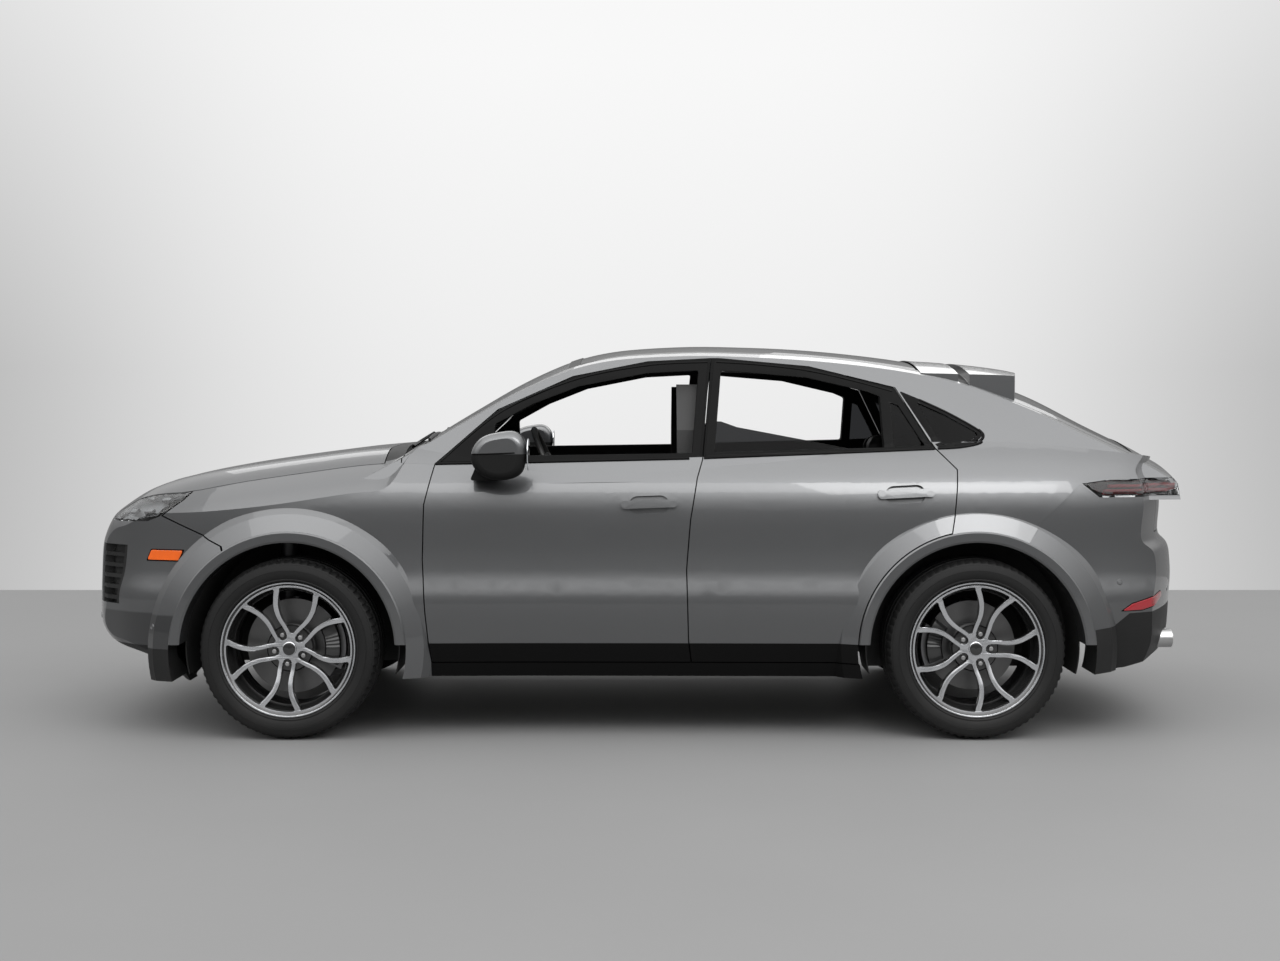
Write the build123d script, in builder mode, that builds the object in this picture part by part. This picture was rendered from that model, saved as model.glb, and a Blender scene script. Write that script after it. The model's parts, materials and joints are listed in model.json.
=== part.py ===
from build123d import *
import os
from bisect import bisect_right
from math import cos, radians, sin

# Coupe sport utility vehicle, in millimetres.  +Z is up and the car faces -X, so +X runs
# to the tail and its left side is at -Y.  The origin is on the ground below its middle.

# ---- overall
length = 4910
wheelbase = 2895
front_axle_x = -1490
rear_axle_x = front_axle_x + wheelbase
nose_x = -length / 2
tail_x = length / 2
reach = 1400  # half width of every cutting prism, well outside the body
sky = 2400  # height above every surface

# ---- wheels and tyres
tyre_radius = 381
rim_radius = 284.5
front_tyre_width = 285
rear_tyre_width = 315
front_track = 1676
rear_track = 1650
wheel_z = tyre_radius
bead_radius = 268
hub_radius = 80
bolt_circle = 130
bolt_pocket = 13
wheel_offset = 46
spindle_radius = 30
front_disc_radius = 200
running = 6
kingpin_y = 775
pin_radius = 12
pin_length = 36
boss_radius = 17
low_joint_z = 226
high_joint_z = 566
arm_thick = 24
strut_y = 530
strut_offset = 85
steer_arm = 160
rack_z = 236
rack_radius = 26
steer_arm_z = 300
subframe_y = 400
engine_bottom = 266
engine_half = 250
wheelhouse_z = 264
trim_inner_y = 870
trim_end_z = 405
floor_half = 789.3
floor_top = 320
tunnel_half = 120
seat_y = 380
steering_x = -426
steering_z = 1140
steering_tilt = 23
steering_radius = 185
column_length = 190
column_radius = 30
rear_disc_radius = 190

# ---- arches
arch_opening = 452
trim_radius = 498
flare_radius = 570
arch_depth_front = 480  # the inner end of each wheelhouse, from the middle
arch_depth_rear = 645

# ---- walls and gaps
door_wall = 125
cabin_wall = 58
hood_wall = 35
fender_wall = 45
nose_wall = 60
gap = 5  # between panels
seat = 0.3  # between a piece and what carries it
door_bottom = 325
sill_bottom = 262
belt_front = 1158
belt_rear = 1222
glass_thick = 5
glass_inset = 4
door_inner_y = 562
door_step_y = 890
door_step = 25
door_step_z = 1050
door_relief = 13  # how far the doors' inner edge stands back from the arch trims, to swing past them
door_relief_y = 930
belt_mid = 1180
tail_wall = 95
door_front_x = -932
flare_face = 988
cowl_x = -1030
cowl_half = 738
hood_rear_x = -1118
hood_front_z = 938
lamp_inner_y = 612
header_x = -330
tailgate_x = 1450
tailgate_bottom = 855
cabin_tail_x = 2330
deck_x = 1900  # the luggage space's height is bounded by the tail's own wall behind here
header_half = 556

# ---- spoiler, lamps, intakes, handles and exhaust
spoiler_front_x = 1452  # behind the tailgate's axis, so that it swings clear of the roof
spoiler_tip_x = 1729
spoiler_half = 566
base_front_x = 1236
base_rear_x = 1402
light_bar_low = 1035
light_bar_high = 1072
light_bar_half = 632
light_bar_depth = 22
intake_low = 556
intake_high = 808
intake_inner_y = 655
intake_outer_y = 800
centre_intake_half = 596
centre_intake_high = 704
intake_front_x = -2120  # the cuts for the intakes end here, behind the bumper's wall
slat_inset = 7
slat_backing = 12
slat_post = 18
slat_height = 16
slat_pitch = 46
handle_proud = 17
handle_gap = 3
handle_pocket = 16
handle_height = 34
handle_length = 236
front_handle = (27, 992, 2)  # middle of the handle and its tilt
rear_handle = (1110, 1036, 3)
exhaust_radius = 40
exhaust_wall = 4
exhaust_z = 386
exhaust_ys = (558, 646)
exhaust_tip_x = 2318
exhaust_root_x = 1980
buffer_x = -2320
buffer_y = 450
buffer_size = 24


def curve(keys):
    """A smooth function through (place, value) pairs that goes on straight past its ends."""
    places = [place for place, _ in keys]
    values = [value for _, value in keys]
    steps = [
        (values[i + 1] - values[i]) / (places[i + 1] - places[i])
        for i in range(len(keys) - 1)
    ]
    slopes = [steps[0]]
    for before, after in zip(steps, steps[1:]):
        slopes.append(0 if before * after <= 0 else 2 * before * after / (before + after))
    slopes.append(steps[-1])

    def at(place):
        if place <= places[0]:
            return values[0] + (place - places[0]) * slopes[0]
        if place >= places[-1]:
            return values[-1] + (place - places[-1]) * slopes[-1]
        i = bisect_right(places, place) - 1
        step = places[i + 1] - places[i]
        t = (place - places[i]) / step
        return (
            (1 + 2 * t) * (1 - t) ** 2 * values[i]
            + t * (1 - t) ** 2 * step * slopes[i]
            + t * t * (3 - 2 * t) * values[i + 1]
            + t * t * (t - 1) * step * slopes[i + 1]
        )

    return at


def span(low, high, count):
    return [low + (high - low) * i / (count - 1) for i in range(count)]


def sheet(first, second, point):
    """A smooth face through point(a, b) for every a of the first and b of the second list."""
    rows = [[point(a, b) for b in second] for a in first]
    return Face.make_surface_from_array_of_points(rows, tol=0.3, min_deg=3, max_deg=3)


# ---- the skin: half width, heights and the plan of nose and tail
waist = curve([
    (-2455, 640), (-2300, 760), (-2200, 840), (-2000, 915), (-1800, 950), (-1500, 965),
    (-1000, 965), (-500, 955), (0, 958), (500, 965), (1000, 975), (1405, 985),
    (1700, 975), (2000, 930), (2200, 860), (2350, 760), (2455, 680),
])
tuck = curve([
    (150, 95), (300, 40), (400, 20), (580, 0), (700, 20), (800, 27), (900, 26), (980, 30),
    (1050, 45), (1100, 67), (1150, 100), (1200, 140), (1260, 200),
])
hood_line = curve([
    (-2455, 850), (-2400, 905), (-2340, 950), (-2286, 990), (-2233, 1022), (-2180, 1048),
    (-2126, 1070), (-2020, 1100), (-1827, 1138), (-1483, 1188), (-1196, 1222),
    (-1000, 1236), (-900, 1245),
])
deck_line = curve([
    (-1000, 1250), (1500, 1250), (1700, 1240), (1900, 1222), (2100, 1200), (2290, 1176), (2460, 1140),
])
nose_plan = curve([(0, 0), (500, 40), (600, 65), (700, 105), (800, 190), (900, 330), (980, 500)])
nose_rake = curve([
    (150, 420), (244, 330), (311, 220), (359, 110), (414, 20), (500, 0), (700, 4), (800, 10),
    (850, 25), (920, 60), (964, 114), (1004, 167), (1050, 260), (1100, 400), (1280, 800),
])
tail_rake = curve([
    (150, 180), (250, 100), (330, 50), (420, 20), (530, 12), (666, 4), (769, 12), (846, 62),
    (981, 53), (1071, 71), (1102, 102), (1174, 93), (1280, 93),
])
roof_line = curve([
    (-1300, 1080), (-1150, 1165), (-1016, 1236), (-873, 1325), (-774, 1386), (-672, 1447),
    (-570, 1506), (-467, 1558), (-393, 1590), (-279, 1632), (-164, 1658), (-49, 1673),
    (65, 1681), (260, 1688), (511, 1683), (735, 1672), (958, 1652), (1182, 1624),
    (1406, 1582), (1600, 1526), (1775, 1465), (1889, 1408), (2003, 1346), (2117, 1289),
    (2174, 1261), (2300, 1192), (2460, 1100),
])
roof_crown = curve([
    (-1300, 20), (-1016, 24), (-672, 38), (-467, 48), (-164, 60), (260, 68), (958, 72),
    (1406, 80), (1775, 95), (2100, 75), (2460, 70),
])
spoiler_line = curve([
    (1200, 1625), (1236, 1618.5), (1350, 1611), (1499, 1599), (1671, 1575), (1760, 1553),
])
spoiler_drop = curve([(1200, 78), (1450, 66), (1651, 47), (1760, 40)])
spoiler_under = curve([(1400, 1496), (1560, 1512), (1650, 1538), (1729, 1549), (1760, 1549)])
belt_half = curve([
    (-1300, 800), (-875, 838), (0, 852), (600, 852), (1243, 815), (1600, 765), (2000, 705),
    (2460, 640),
])
lean = 0.56  # inward run of the cabin side for each unit of height


def side(x, z):
    return waist(x) - tuck(z)


def hood_top(x, y):
    a = abs(y)
    return hood_line(x) - 8 * (a / 500) ** 2 - 0.00095 * max(0, a - 520) ** 2


def cabin_side(x, z):
    return belt_half(x) - (z - 1170) * lean - 0.00012 * (z - 1170) ** 2


def roof_top(x, y):
    return roof_line(x) - roof_crown(x) * (abs(y) / 600) ** 2.2


def body_top(x, y):
    blend = min(1, max(0, (x + 1100) / 200))
    return (1 - blend) * hood_top(x, y) + blend * deck_line(x)


def nose(y, z):
    return nose_x + nose_plan(abs(y)) + nose_rake(z)


def tail(y, z):
    return tail_x - 360 * (y / 1000) ** 2 - tail_rake(z)


def spoiler_top(x, y):
    return spoiler_line(x) - spoiler_drop(x) * (abs(y) / 600) ** 2.2


def spoiler_low(x, y):
    leg = min(1, max(0, (abs(y) - 455) / 90))
    return spoiler_under(x) - spoiler_drop(x) * (abs(y) / 600) ** 2.2 - 95 * leg ** 2 * (3 - 2 * leg)


body_xs = span(-2520, 2520, 42)
top_xs = span(-2520, 2520, 51)
body_zs = span(150, 1270, 24)
body_ys = span(-1000, 1000, 27)
cabin_xs = span(-1290, 2450, 36)
cabin_zs = span(1000, 1720, 12)


def lower_block(side_wall, top_wall, end_wall):
    """The body below the belt, with its skin drawn in by the given walls."""
    with BuildPart() as block:
        extrude(
            sheet(body_xs, body_zs, lambda x, z: (x, side_wall - side(x, z), z)),
            amount=2 * reach, dir=(0, 1, 0),
        )
        extrude(
            sheet(body_xs, body_zs, lambda x, z: (x, side(x, z) - side_wall, z)),
            amount=2 * reach, dir=(0, -1, 0), mode=Mode.INTERSECT,
        )
        extrude(
            sheet(top_xs, body_ys, lambda x, y: (x, y, body_top(x, y) - top_wall)),
            amount=sky, dir=(0, 0, -1), mode=Mode.INTERSECT,
        )
        extrude(
            sheet(body_ys, body_zs, lambda y, z: (nose(y, z) + end_wall, y, z)),
            amount=2 * length, dir=(1, 0, 0), mode=Mode.INTERSECT,
        )
        extrude(
            sheet(body_ys, body_zs, lambda y, z: (tail(y, z) - end_wall, y, z)),
            amount=2 * length, dir=(-1, 0, 0), mode=Mode.INTERSECT,
        )
    return block.part


def left_side(wall):
    """Everything inside the left skin drawn in by the wall, or drawn out where it is negative."""
    with BuildPart() as block:
        extrude(
            sheet(body_xs, body_zs, lambda x, z: (x, wall - side(x, z), z)),
            amount=2 * reach, dir=(0, 1, 0),
        )
    return block.part


def tail_block(wall):
    """Everything ahead of the tail's skin drawn in by the wall."""
    with BuildPart() as block:
        extrude(
            sheet(body_ys, body_zs, lambda y, z: (tail(y, z) - wall, y, z)),
            amount=2 * length, dir=(-1, 0, 0),
        )
    return block.part


def cabin_block(side_wall, top_wall):
    """The cabin above the belt, with its skin drawn in by the given walls."""
    with BuildPart() as block:
        extrude(
            sheet(cabin_xs, cabin_zs, lambda x, z: (x, side_wall - cabin_side(x, z), z)),
            amount=2 * reach, dir=(0, 1, 0),
        )
        extrude(
            sheet(cabin_xs, cabin_zs, lambda x, z: (x, cabin_side(x, z) - side_wall, z)),
            amount=2 * reach, dir=(0, -1, 0), mode=Mode.INTERSECT,
        )
        extrude(
            sheet(cabin_xs, span(-900, 900, 21), lambda x, y: (x, y, roof_top(x, y) - top_wall)),
            amount=sky, dir=(0, 0, -1), mode=Mode.INTERSECT,
        )
        split(bisect_by=Plane.YZ.offset(cabin_tail_x), keep=Keep.BOTTOM)
    return block.part


def prism(points, low=0.0, high=reach, grow=0.0, plane=Plane.XZ):
    """The outline made solid between two depths; on the XZ plane depth runs to the left."""
    with BuildPart() as block:
        with BuildSketch(plane.offset(low)):
            with BuildLine():
                Polyline(*points, close=True)
            make_face()
            if grow:
                offset(amount=grow, kind=Kind.INTERSECTION)
        extrude(amount=high - low)
    return block.part


def arch(axle_x, radius, low, high):
    """A disc on a wheel's axis between two distances from the middle, on the left."""
    with BuildPart() as disc:
        with BuildSketch(Plane.XZ.offset(low)):
            with Locations((axle_x, wheel_z)):
                Circle(radius)
        extrude(amount=high - low)
    return disc.part


def box(x_low, x_high, y_low, y_high, z_low, z_high):
    with BuildPart() as block:
        with BuildSketch(Plane.XY.offset(z_low)):
            with Locations(((x_low + x_high) / 2, (y_low + y_high) / 2)):
                Rectangle(x_high - x_low, y_high - y_low)
        extrude(amount=z_high - z_low)
    return block.part


def keep_left(part):
    """The left half of a piece."""
    with BuildPart() as half:
        add(part)
        split(bisect_by=Plane.XZ, keep=Keep.TOP)
    return half.part


large_skins = ("front_bumper", "grille", "side_frame_left", "side_frame_right")


def write(part, name):
    """Keeps a piece's STEP file, without its edges' surface curves where these are very many."""
    part.label = name
    export_step(part, f"parts/{name}.step", write_pcurves=name not in large_skins)


def write_pair(part, name):
    """The left piece and its mirror image."""
    write(part, f"{name}_left")
    write(part.mirror(Plane.XZ), f"{name}_right")


def plan_zone(edge, grow=0.0, z_low=0.0, trail=0.0):
    """A prism over the body between a side edge seen from above and its mirror image."""
    line = [(x, -y - grow) for x, y in edge]
    line[-1] = (line[-1][0] + trail, line[-1][1])
    with BuildPart() as zone:
        with BuildSketch(Plane.XY.offset(z_low)):
            with BuildLine():
                Polyline((line[0][0], 0), *line, (line[-1][0], 0), close=True)
            make_face()
            mirror(about=Plane.XZ)
        extrude(amount=sky)
    return zone.part


os.makedirs("parts", exist_ok=True)

# ---- outlines seen from the side (X, Z)
underside = [
    (-2500, 215), (-1850, 215), (-1850, sill_bottom), (1700, sill_bottom), (2050, 295),
    (2206, 330), (2500, 350), (2500, 100), (-2500, 100),
]
front_door_edge = [
    (-883, 1157), (-922, 988), (-927, 756), (-914, 548), (-900, 398), (-888, door_bottom),
]
pillar_line = [
    (203, door_bottom), (191, 419), (183, 714), (200, 924), (230, 1100), (254, 1176), (300, 1612),
]
roof_edge_front = [(24, 1598), (-305, 1532), (-627, 1387)]
roof_edge_rear = [(342, 1612), (733, 1576), (1108, 1483)]
rear_door_tail = [(1254, 1221), (1333, 1134), (1326, 1063), (1312, 946), (1293, 858)]
front_door_outline = front_door_edge + pillar_line + roof_edge_front
rear_door_outline = (
    [(x + gap, z) for x, z in pillar_line] + roof_edge_rear + rear_door_tail
    + [(1400, 800), (1400, door_bottom)]
)
front_window = [
    (-640, belt_mid + 10), (-640, 1325), (-480, 1412), (-280, 1490), (20, 1549), (247, 1561),
    (213, belt_mid + 22),
]
rear_window = [
    (308, belt_mid + 26), (346, 1561), (720, 1530), (985, 1468), (1040, 1445), (1040, belt_rear + 4),
]
corner_window = [
    (1082, belt_rear + 6), (1082, 1420), (1115, 1408), (1215, belt_rear + 12),
]
pane_edge = [(200, 1340), (340, 1338), (407, 1314), (918, 1217), (918, 1000), (200, 1000)]
quarter_window = [
    (1290, belt_rear + 16), (1200, 1420), (1325, 1363), (1445, 1295), (1458, 1278), (1425, 1256),
    (1350, 1246),
]
lamp_outline = [
    (-2600, 905), (-2272, 908), (-2112, 914), (-2056, 935), (-1970, 1005), (-1908, 1078),
    (-1920, 1150), (-2600, 1150),
]
fender_outline = [
    (-1905, 1300), (-1903, 1080), (-1964, 1002), (-2040, 939), (-1845, 855), (-1764, 817),
    (-1700, 600), (-1490, 500), (-1300, 380), (-1300, 150), (-893, 150),
] + [(x - gap, z) for x, z in reversed(front_door_edge)] + [(cowl_x - gap, 1162), (cowl_x - gap, 1300)]
bumper_outline = [
    (-1970 - gap, 1005), (-2045 - gap, 937), (-1849 - gap, 853), (-1768 - gap, 815), (-1700, 600),
    (-1700, 100), (-2600, 100), (-2600, 1005),
]
tail_lamp_outline = [(1864, 1076), (1936, 1018), (2600, 1018), (2600, 1095), (1990, 1092)]
rear_bumper_outline = [
    (1850, 1072), (1934, 1018 - gap), (2600, 1018 - gap), (2600, 100), (1600, 100), (1600, 800),
    (1681, 917),
]
front_skirt_z = 385
diffuser_outline = [
    (1500, 405), (1876, 464), (1996, 478), (2062, 528), (2345, 535), (2600, 535), (2600, 100),
    (1500, 100),
]

# ---- zones seen from above (X, half width)
hood_edge = [
    (-2600, 615), (-2330, 615), (-2191, 692), (-1994, 765), (-1905, 775), (-1707, 768),
    (-1359, 762), (hood_rear_x, 756),
]
windshield_edge = [(cowl_x, 735), (-873, 700), (-672, 655), (-467, 610), (header_x, header_half)]
roof_glass_edge = [(header_x + 50, 520), (-60, 480), (260, 470), (958, 475), (tailgate_x - 70, 520)]
rear_glass_edge = [(1640, 530), (2180, 560)]
roof_edge = [(header_x, header_half), (-100, 520), (260, 505), (958, 512), (tailgate_x, 572)]
tail_edge = [(tailgate_x, 572), (1720, 598), (2030, 612), (2290, 636), (2600, 640)]

# ---- the whole body as one block, with its flares
with BuildPart() as flares:
    for axle_x in (front_axle_x, rear_axle_x):
        with BuildSketch(Plane((axle_x, 0, wheel_z), x_dir=(0, 0, 1), z_dir=(1, 0, 0))):
            with BuildLine():
                Polyline(
                    (0, 0), (0, flare_face), (trim_radius, flare_face),
                    (flare_radius, flare_face - 26), (flare_radius + 30, flare_face - 60),
                    (flare_radius + 30, 0), close=True,
                )
            make_face()
        revolve(axis=Axis((axle_x, 0, wheel_z), (0, 1, 0)))
    split(bisect_by=Plane.XY.offset(250), keep=Keep.TOP)
    mirror(about=Plane.XZ)

with BuildPart() as skin:
    add(lower_block(0, 0, 0))
    add(flares.part)
    add(cabin_block(0, 0))
    with BuildSketch(Plane.XZ.offset(-reach)):
        with BuildLine():
            Polyline(*underside, close=True)
        make_face()
    extrude(amount=2 * reach, mode=Mode.SUBTRACT)

# ---- the hollows: cabin with luggage space, and engine bay
with BuildPart() as tail_keeper:
    add(box(deck_x, 2 * length, -reach, reach, tailgate_bottom, belt_rear))
    add(tail_block(tail_wall), mode=Mode.SUBTRACT)
with BuildPart() as cabin_hollow:
    add(cabin_block(cabin_wall, cabin_wall))
    add(tail_keeper.part, mode=Mode.SUBTRACT)
    add(lower_block(door_wall, hood_wall, tail_wall))
with BuildPart() as bay_hollow:
    add(lower_block(fender_wall, hood_wall, nose_wall))
with BuildPart() as glass_layer:
    add(cabin_block(glass_inset, glass_inset))
    add(cabin_block(glass_inset + glass_thick, glass_inset + glass_thick), mode=Mode.SUBTRACT)

with BuildPart() as rear_shell:
    add(skin.part)
    add(box(door_front_x, 2 * length, -reach, reach, 0, sky), mode=Mode.INTERSECT)
    add(cabin_hollow.part, mode=Mode.SUBTRACT)
with BuildPart() as front_shell:
    add(skin.part)
    add(box(-2 * length, door_front_x + 60, -reach, reach, 0, sky), mode=Mode.INTERSECT)
    add(bay_hollow.part, mode=Mode.SUBTRACT)
with BuildPart() as pillar_foot:
    add(skin.part)
    add(box(cowl_x, door_front_x, -reach, 0, belt_front, sky), mode=Mode.INTERSECT)
    add(cabin_hollow.part, mode=Mode.SUBTRACT)

rear_left = keep_left(rear_shell.part)
front_left = keep_left(front_shell.part)
glass_left = keep_left(glass_layer.part)

# ---- hood, headlamps, fenders and front bumper
hood_hole = plan_zone(hood_edge, gap / 2, hood_front_z - gap, gap)
with BuildPart() as hood:
    add(front_shell.part)
    add(plan_zone(hood_edge, -gap / 2, hood_front_z), mode=Mode.INTERSECT)
write(hood.part, "hood")

headlamp_zone = prism(lamp_outline)
with BuildPart() as headlamp:
    add(front_left)
    add(headlamp_zone, mode=Mode.INTERSECT)
    add(hood_hole, mode=Mode.SUBTRACT)
    add(box(-2600, -1800, -reach, -lamp_inner_y, 0, sky), mode=Mode.INTERSECT)
write(headlamp.part + headlamp.part.mirror(Plane.XZ), "headlamps")

with BuildPart() as fender:
    add(front_left)
    add(prism(fender_outline), mode=Mode.INTERSECT)
    add(hood_hole, mode=Mode.SUBTRACT)
    add(arch(front_axle_x, trim_radius + seat, 0, reach), mode=Mode.SUBTRACT)
    add(box(-reach, 0, -cowl_half - seat, 0, 0, sky), mode=Mode.SUBTRACT)
write(fender.part + fender.part.mirror(Plane.XZ), "front_fenders")

with BuildPart() as bumper_half:
    add(front_left)
    add(prism(bumper_outline), mode=Mode.INTERSECT)
    add(hood_hole, mode=Mode.SUBTRACT)
    add(prism(lamp_outline, lamp_inner_y - seat), mode=Mode.SUBTRACT)
    add(arch(front_axle_x, trim_radius + seat, 0, reach), mode=Mode.SUBTRACT)
intakes = [
    (intake_inner_y, intake_outer_y, intake_low, intake_high),
    (-seat, centre_intake_half, intake_low, centre_intake_high),
]


def intake(inner_y, outer_y, low, high, grow=0.0):
    """The block that opens an intake in the front wall, on the left."""
    return box(-reach * 2, intake_front_x, -outer_y - grow, -inner_y + grow, low - grow, high + grow)


def blades(inner_y, outer_y, low, high):
    """Level blades with upright posts at both ends, across one intake."""
    with BuildPart() as rack:
        level = low + slat_height
        while level + slat_height < high:
            add(box(-reach * 2, intake_front_x, -outer_y, -inner_y, level, level + slat_height))
            level += slat_pitch
        add(box(-reach * 2, intake_front_x, -outer_y, -outer_y + slat_post, low, high))
        add(box(-reach * 2, intake_front_x, -inner_y - slat_post, -inner_y, low, high))
    return rack.part


with BuildPart() as front_bumper:
    add(bumper_half.part)
    split(bisect_by=Plane.XY.offset(front_skirt_z), keep=Keep.TOP)
    for sizes in intakes:
        add(intake(*sizes), mode=Mode.SUBTRACT)
    with BuildSketch(Plane.XY.offset(hood_front_z - 2 * gap)):
        with Locations((buffer_x, -buffer_y)):
            Rectangle(buffer_size, buffer_size)
    extrude(amount=2 * gap - seat)
    mirror(about=Plane.XZ)
write(front_bumper.part, "front_bumper")
with BuildPart() as front_skirt:
    add(bumper_half.part)
    split(bisect_by=Plane.XY.offset(front_skirt_z - seat), keep=Keep.BOTTOM)
    mirror(about=Plane.XZ)
write(front_skirt.part, "front_skirt")
with BuildPart() as grille_backing:
    for sizes in intakes:
        add(intake(*sizes, grow=-seat))
    add(lower_block(fender_wall - slat_backing, 0, nose_wall - slat_backing), mode=Mode.INTERSECT)
with BuildPart() as grille_blades:
    for inner_y, outer_y, low, high in intakes:
        add(blades(inner_y + seat, outer_y - seat, low + seat, high - seat))
    add(lower_block(slat_inset, 0, slat_inset), mode=Mode.INTERSECT)
with BuildPart() as grille:
    add(grille_backing.part)
    add(grille_blades.part)
    add(bay_hollow.part, mode=Mode.SUBTRACT)
    split(bisect_by=Plane.YZ.offset(intake_front_x - gap), keep=Keep.BOTTOM)
    mirror(about=Plane.XZ)
write(grille.part, "grille")


# ---- doors and their glass
def door(outline, windows):
    """A door as thick as its wall, with its windows cut."""
    with BuildPart() as panel:
        add(rear_left)
        add(prism(outline, door_inner_y), mode=Mode.INTERSECT)
        for window in windows:
            add(prism(window), mode=Mode.SUBTRACT)
        add(arch(rear_axle_x, trim_radius + gap, 0, reach), mode=Mode.SUBTRACT)
        add(arch(rear_axle_x, trim_radius + gap + door_relief, 0, door_relief_y), mode=Mode.SUBTRACT)
        add(prism(outline, 0, door_step_y) - prism(outline, 0, door_step_y, -door_step)
            - box(-reach, 2 * reach, -reach, 0, door_step_z, sky), mode=Mode.SUBTRACT)
    return panel.part


def slot_outline(x, z, long, high, tilt):
    """A slot's outline, seen from the left."""
    with BuildSketch(Plane.XZ) as face:
        with Locations(Location((x, z), tilt)):
            SlotOverall(long, high)
    return face.sketch


def with_handle(panel, x, z, tilt):
    """A door with a pull handle that bridges a pocket in its skin."""
    handle_skin = left_side(-handle_proud) - left_side(-handle_gap)
    feet_skin = left_side(-handle_proud) - left_side(handle_pocket + gap)
    with BuildPart() as pocket:
        extrude(slot_outline(x, z - 4, handle_length * 0.72, 2.2 * handle_height, tilt), amount=reach)
        add(left_side(handle_pocket), mode=Mode.SUBTRACT)
    with BuildPart() as grip:
        extrude(slot_outline(x, z, handle_length, handle_height, tilt), amount=reach)
        add(handle_skin, mode=Mode.INTERSECT)
    with BuildPart() as feet:
        for end in (-1, 1):
            extrude(
                slot_outline(x + end * handle_length * 0.43, z, handle_height, handle_height * 0.8, tilt),
                amount=reach,
            )
        add(feet_skin, mode=Mode.INTERSECT)
    return panel - pocket.part + feet.part + grip.part


def window_glass(outline):
    """The pane that fills an opening, just clear of its frame."""
    with BuildPart() as pane:
        add(glass_left)
        add(prism(outline, grow=-seat), mode=Mode.INTERSECT)
    return pane.part


front_door = door(front_door_outline, [front_window])
rear_door = door(rear_door_outline, [rear_window, corner_window])
write_pair(with_handle(front_door, *front_handle), "front_door")
write_pair(with_handle(rear_door, *rear_handle), "rear_door")
quarter_pane = window_glass(quarter_window)
write(quarter_pane + quarter_pane.mirror(Plane.XZ), "quarter_glasses")
corner_pane = window_glass(corner_window)
with BuildPart() as lowered_pane:
    add(window_glass(rear_window))
    add(prism(pane_edge), mode=Mode.INTERSECT)
write(corner_pane + lowered_pane.part, "rear_door_glass_left")
write(corner_pane.mirror(Plane.XZ), "rear_door_glass_right")

# ---- tailgate with its glass, tail lamps and rear bumper
with BuildPart() as tailgate:
    add(rear_shell.part)
    add(plan_zone(tail_edge, -gap / 2, tailgate_bottom), mode=Mode.INTERSECT)
    add(plan_zone(rear_glass_edge, 0, belt_rear - 100), mode=Mode.SUBTRACT)
with BuildPart() as light_bar:
    add(tailgate.part)
    add(
        box(deck_x, 2 * length, -light_bar_half, light_bar_half, light_bar_low, light_bar_high),
        mode=Mode.INTERSECT,
    )
    add(tail_block(light_bar_depth), mode=Mode.SUBTRACT)
write(light_bar.part, "tail_light_bar")
with BuildPart() as light_groove:
    add(box(
        deck_x, 2 * length, -light_bar_half - seat, light_bar_half + seat,
        light_bar_low - seat, light_bar_high + seat,
    ))
    add(tail_block(light_bar_depth + seat), mode=Mode.SUBTRACT)
write(tailgate.part - light_groove.part, "tailgate")

# ---- spoiler: its base stays on the roof, its wing swings with the tailgate
with BuildPart() as spoiler_body:
    extrude(
        sheet(span(1200, 1760, 15), span(-640, 640, 25), lambda x, y: (x, y, spoiler_top(x, y))),
        amount=sky, dir=(0, 0, -1),
    )
    extrude(
        sheet(span(1200, 1760, 15), span(-640, 640, 25), lambda x, y: (x, y, spoiler_low(x, y))),
        amount=sky, dir=(0, 0, 1), mode=Mode.INTERSECT,
    )
    add(cabin_block(-seat, -seat), mode=Mode.SUBTRACT)
with BuildPart() as roof_spoiler:
    with BuildSketch(Plane.XY):
        with BuildLine():
            corner_x = spoiler_tip_x - 78
            trailing = ThreePointArc((corner_x, -spoiler_half), (spoiler_tip_x, 0), (corner_x, spoiler_half))
            Polyline(
                trailing @ 1, (spoiler_front_x, spoiler_half), (spoiler_front_x, -spoiler_half), trailing @ 0,
            )
        make_face()
    extrude(amount=sky)
    add(spoiler_body.part, mode=Mode.INTERSECT)
write(roof_spoiler.part, "roof_spoiler")
with BuildPart() as spoiler_base:
    add(spoiler_body.part)
    add(box(base_front_x, base_rear_x, -spoiler_half, spoiler_half, 0, sky), mode=Mode.INTERSECT)
write(spoiler_base.part, "spoiler_base")
with BuildPart() as rear_glass:
    add(glass_layer.part)
    add(plan_zone(rear_glass_edge, -seat), mode=Mode.INTERSECT)
write(rear_glass.part, "rear_glass")
tailgate_hole = plan_zone([(tailgate_x - gap, 572)] + tail_edge[1:], gap / 2, tailgate_bottom - gap)

with BuildPart() as tail_lamp:
    add(rear_left)
    add(prism(tail_lamp_outline), mode=Mode.INTERSECT)
    add(tailgate_hole, mode=Mode.SUBTRACT)
write(tail_lamp.part + tail_lamp.part.mirror(Plane.XZ), "tail_lamps")

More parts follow.
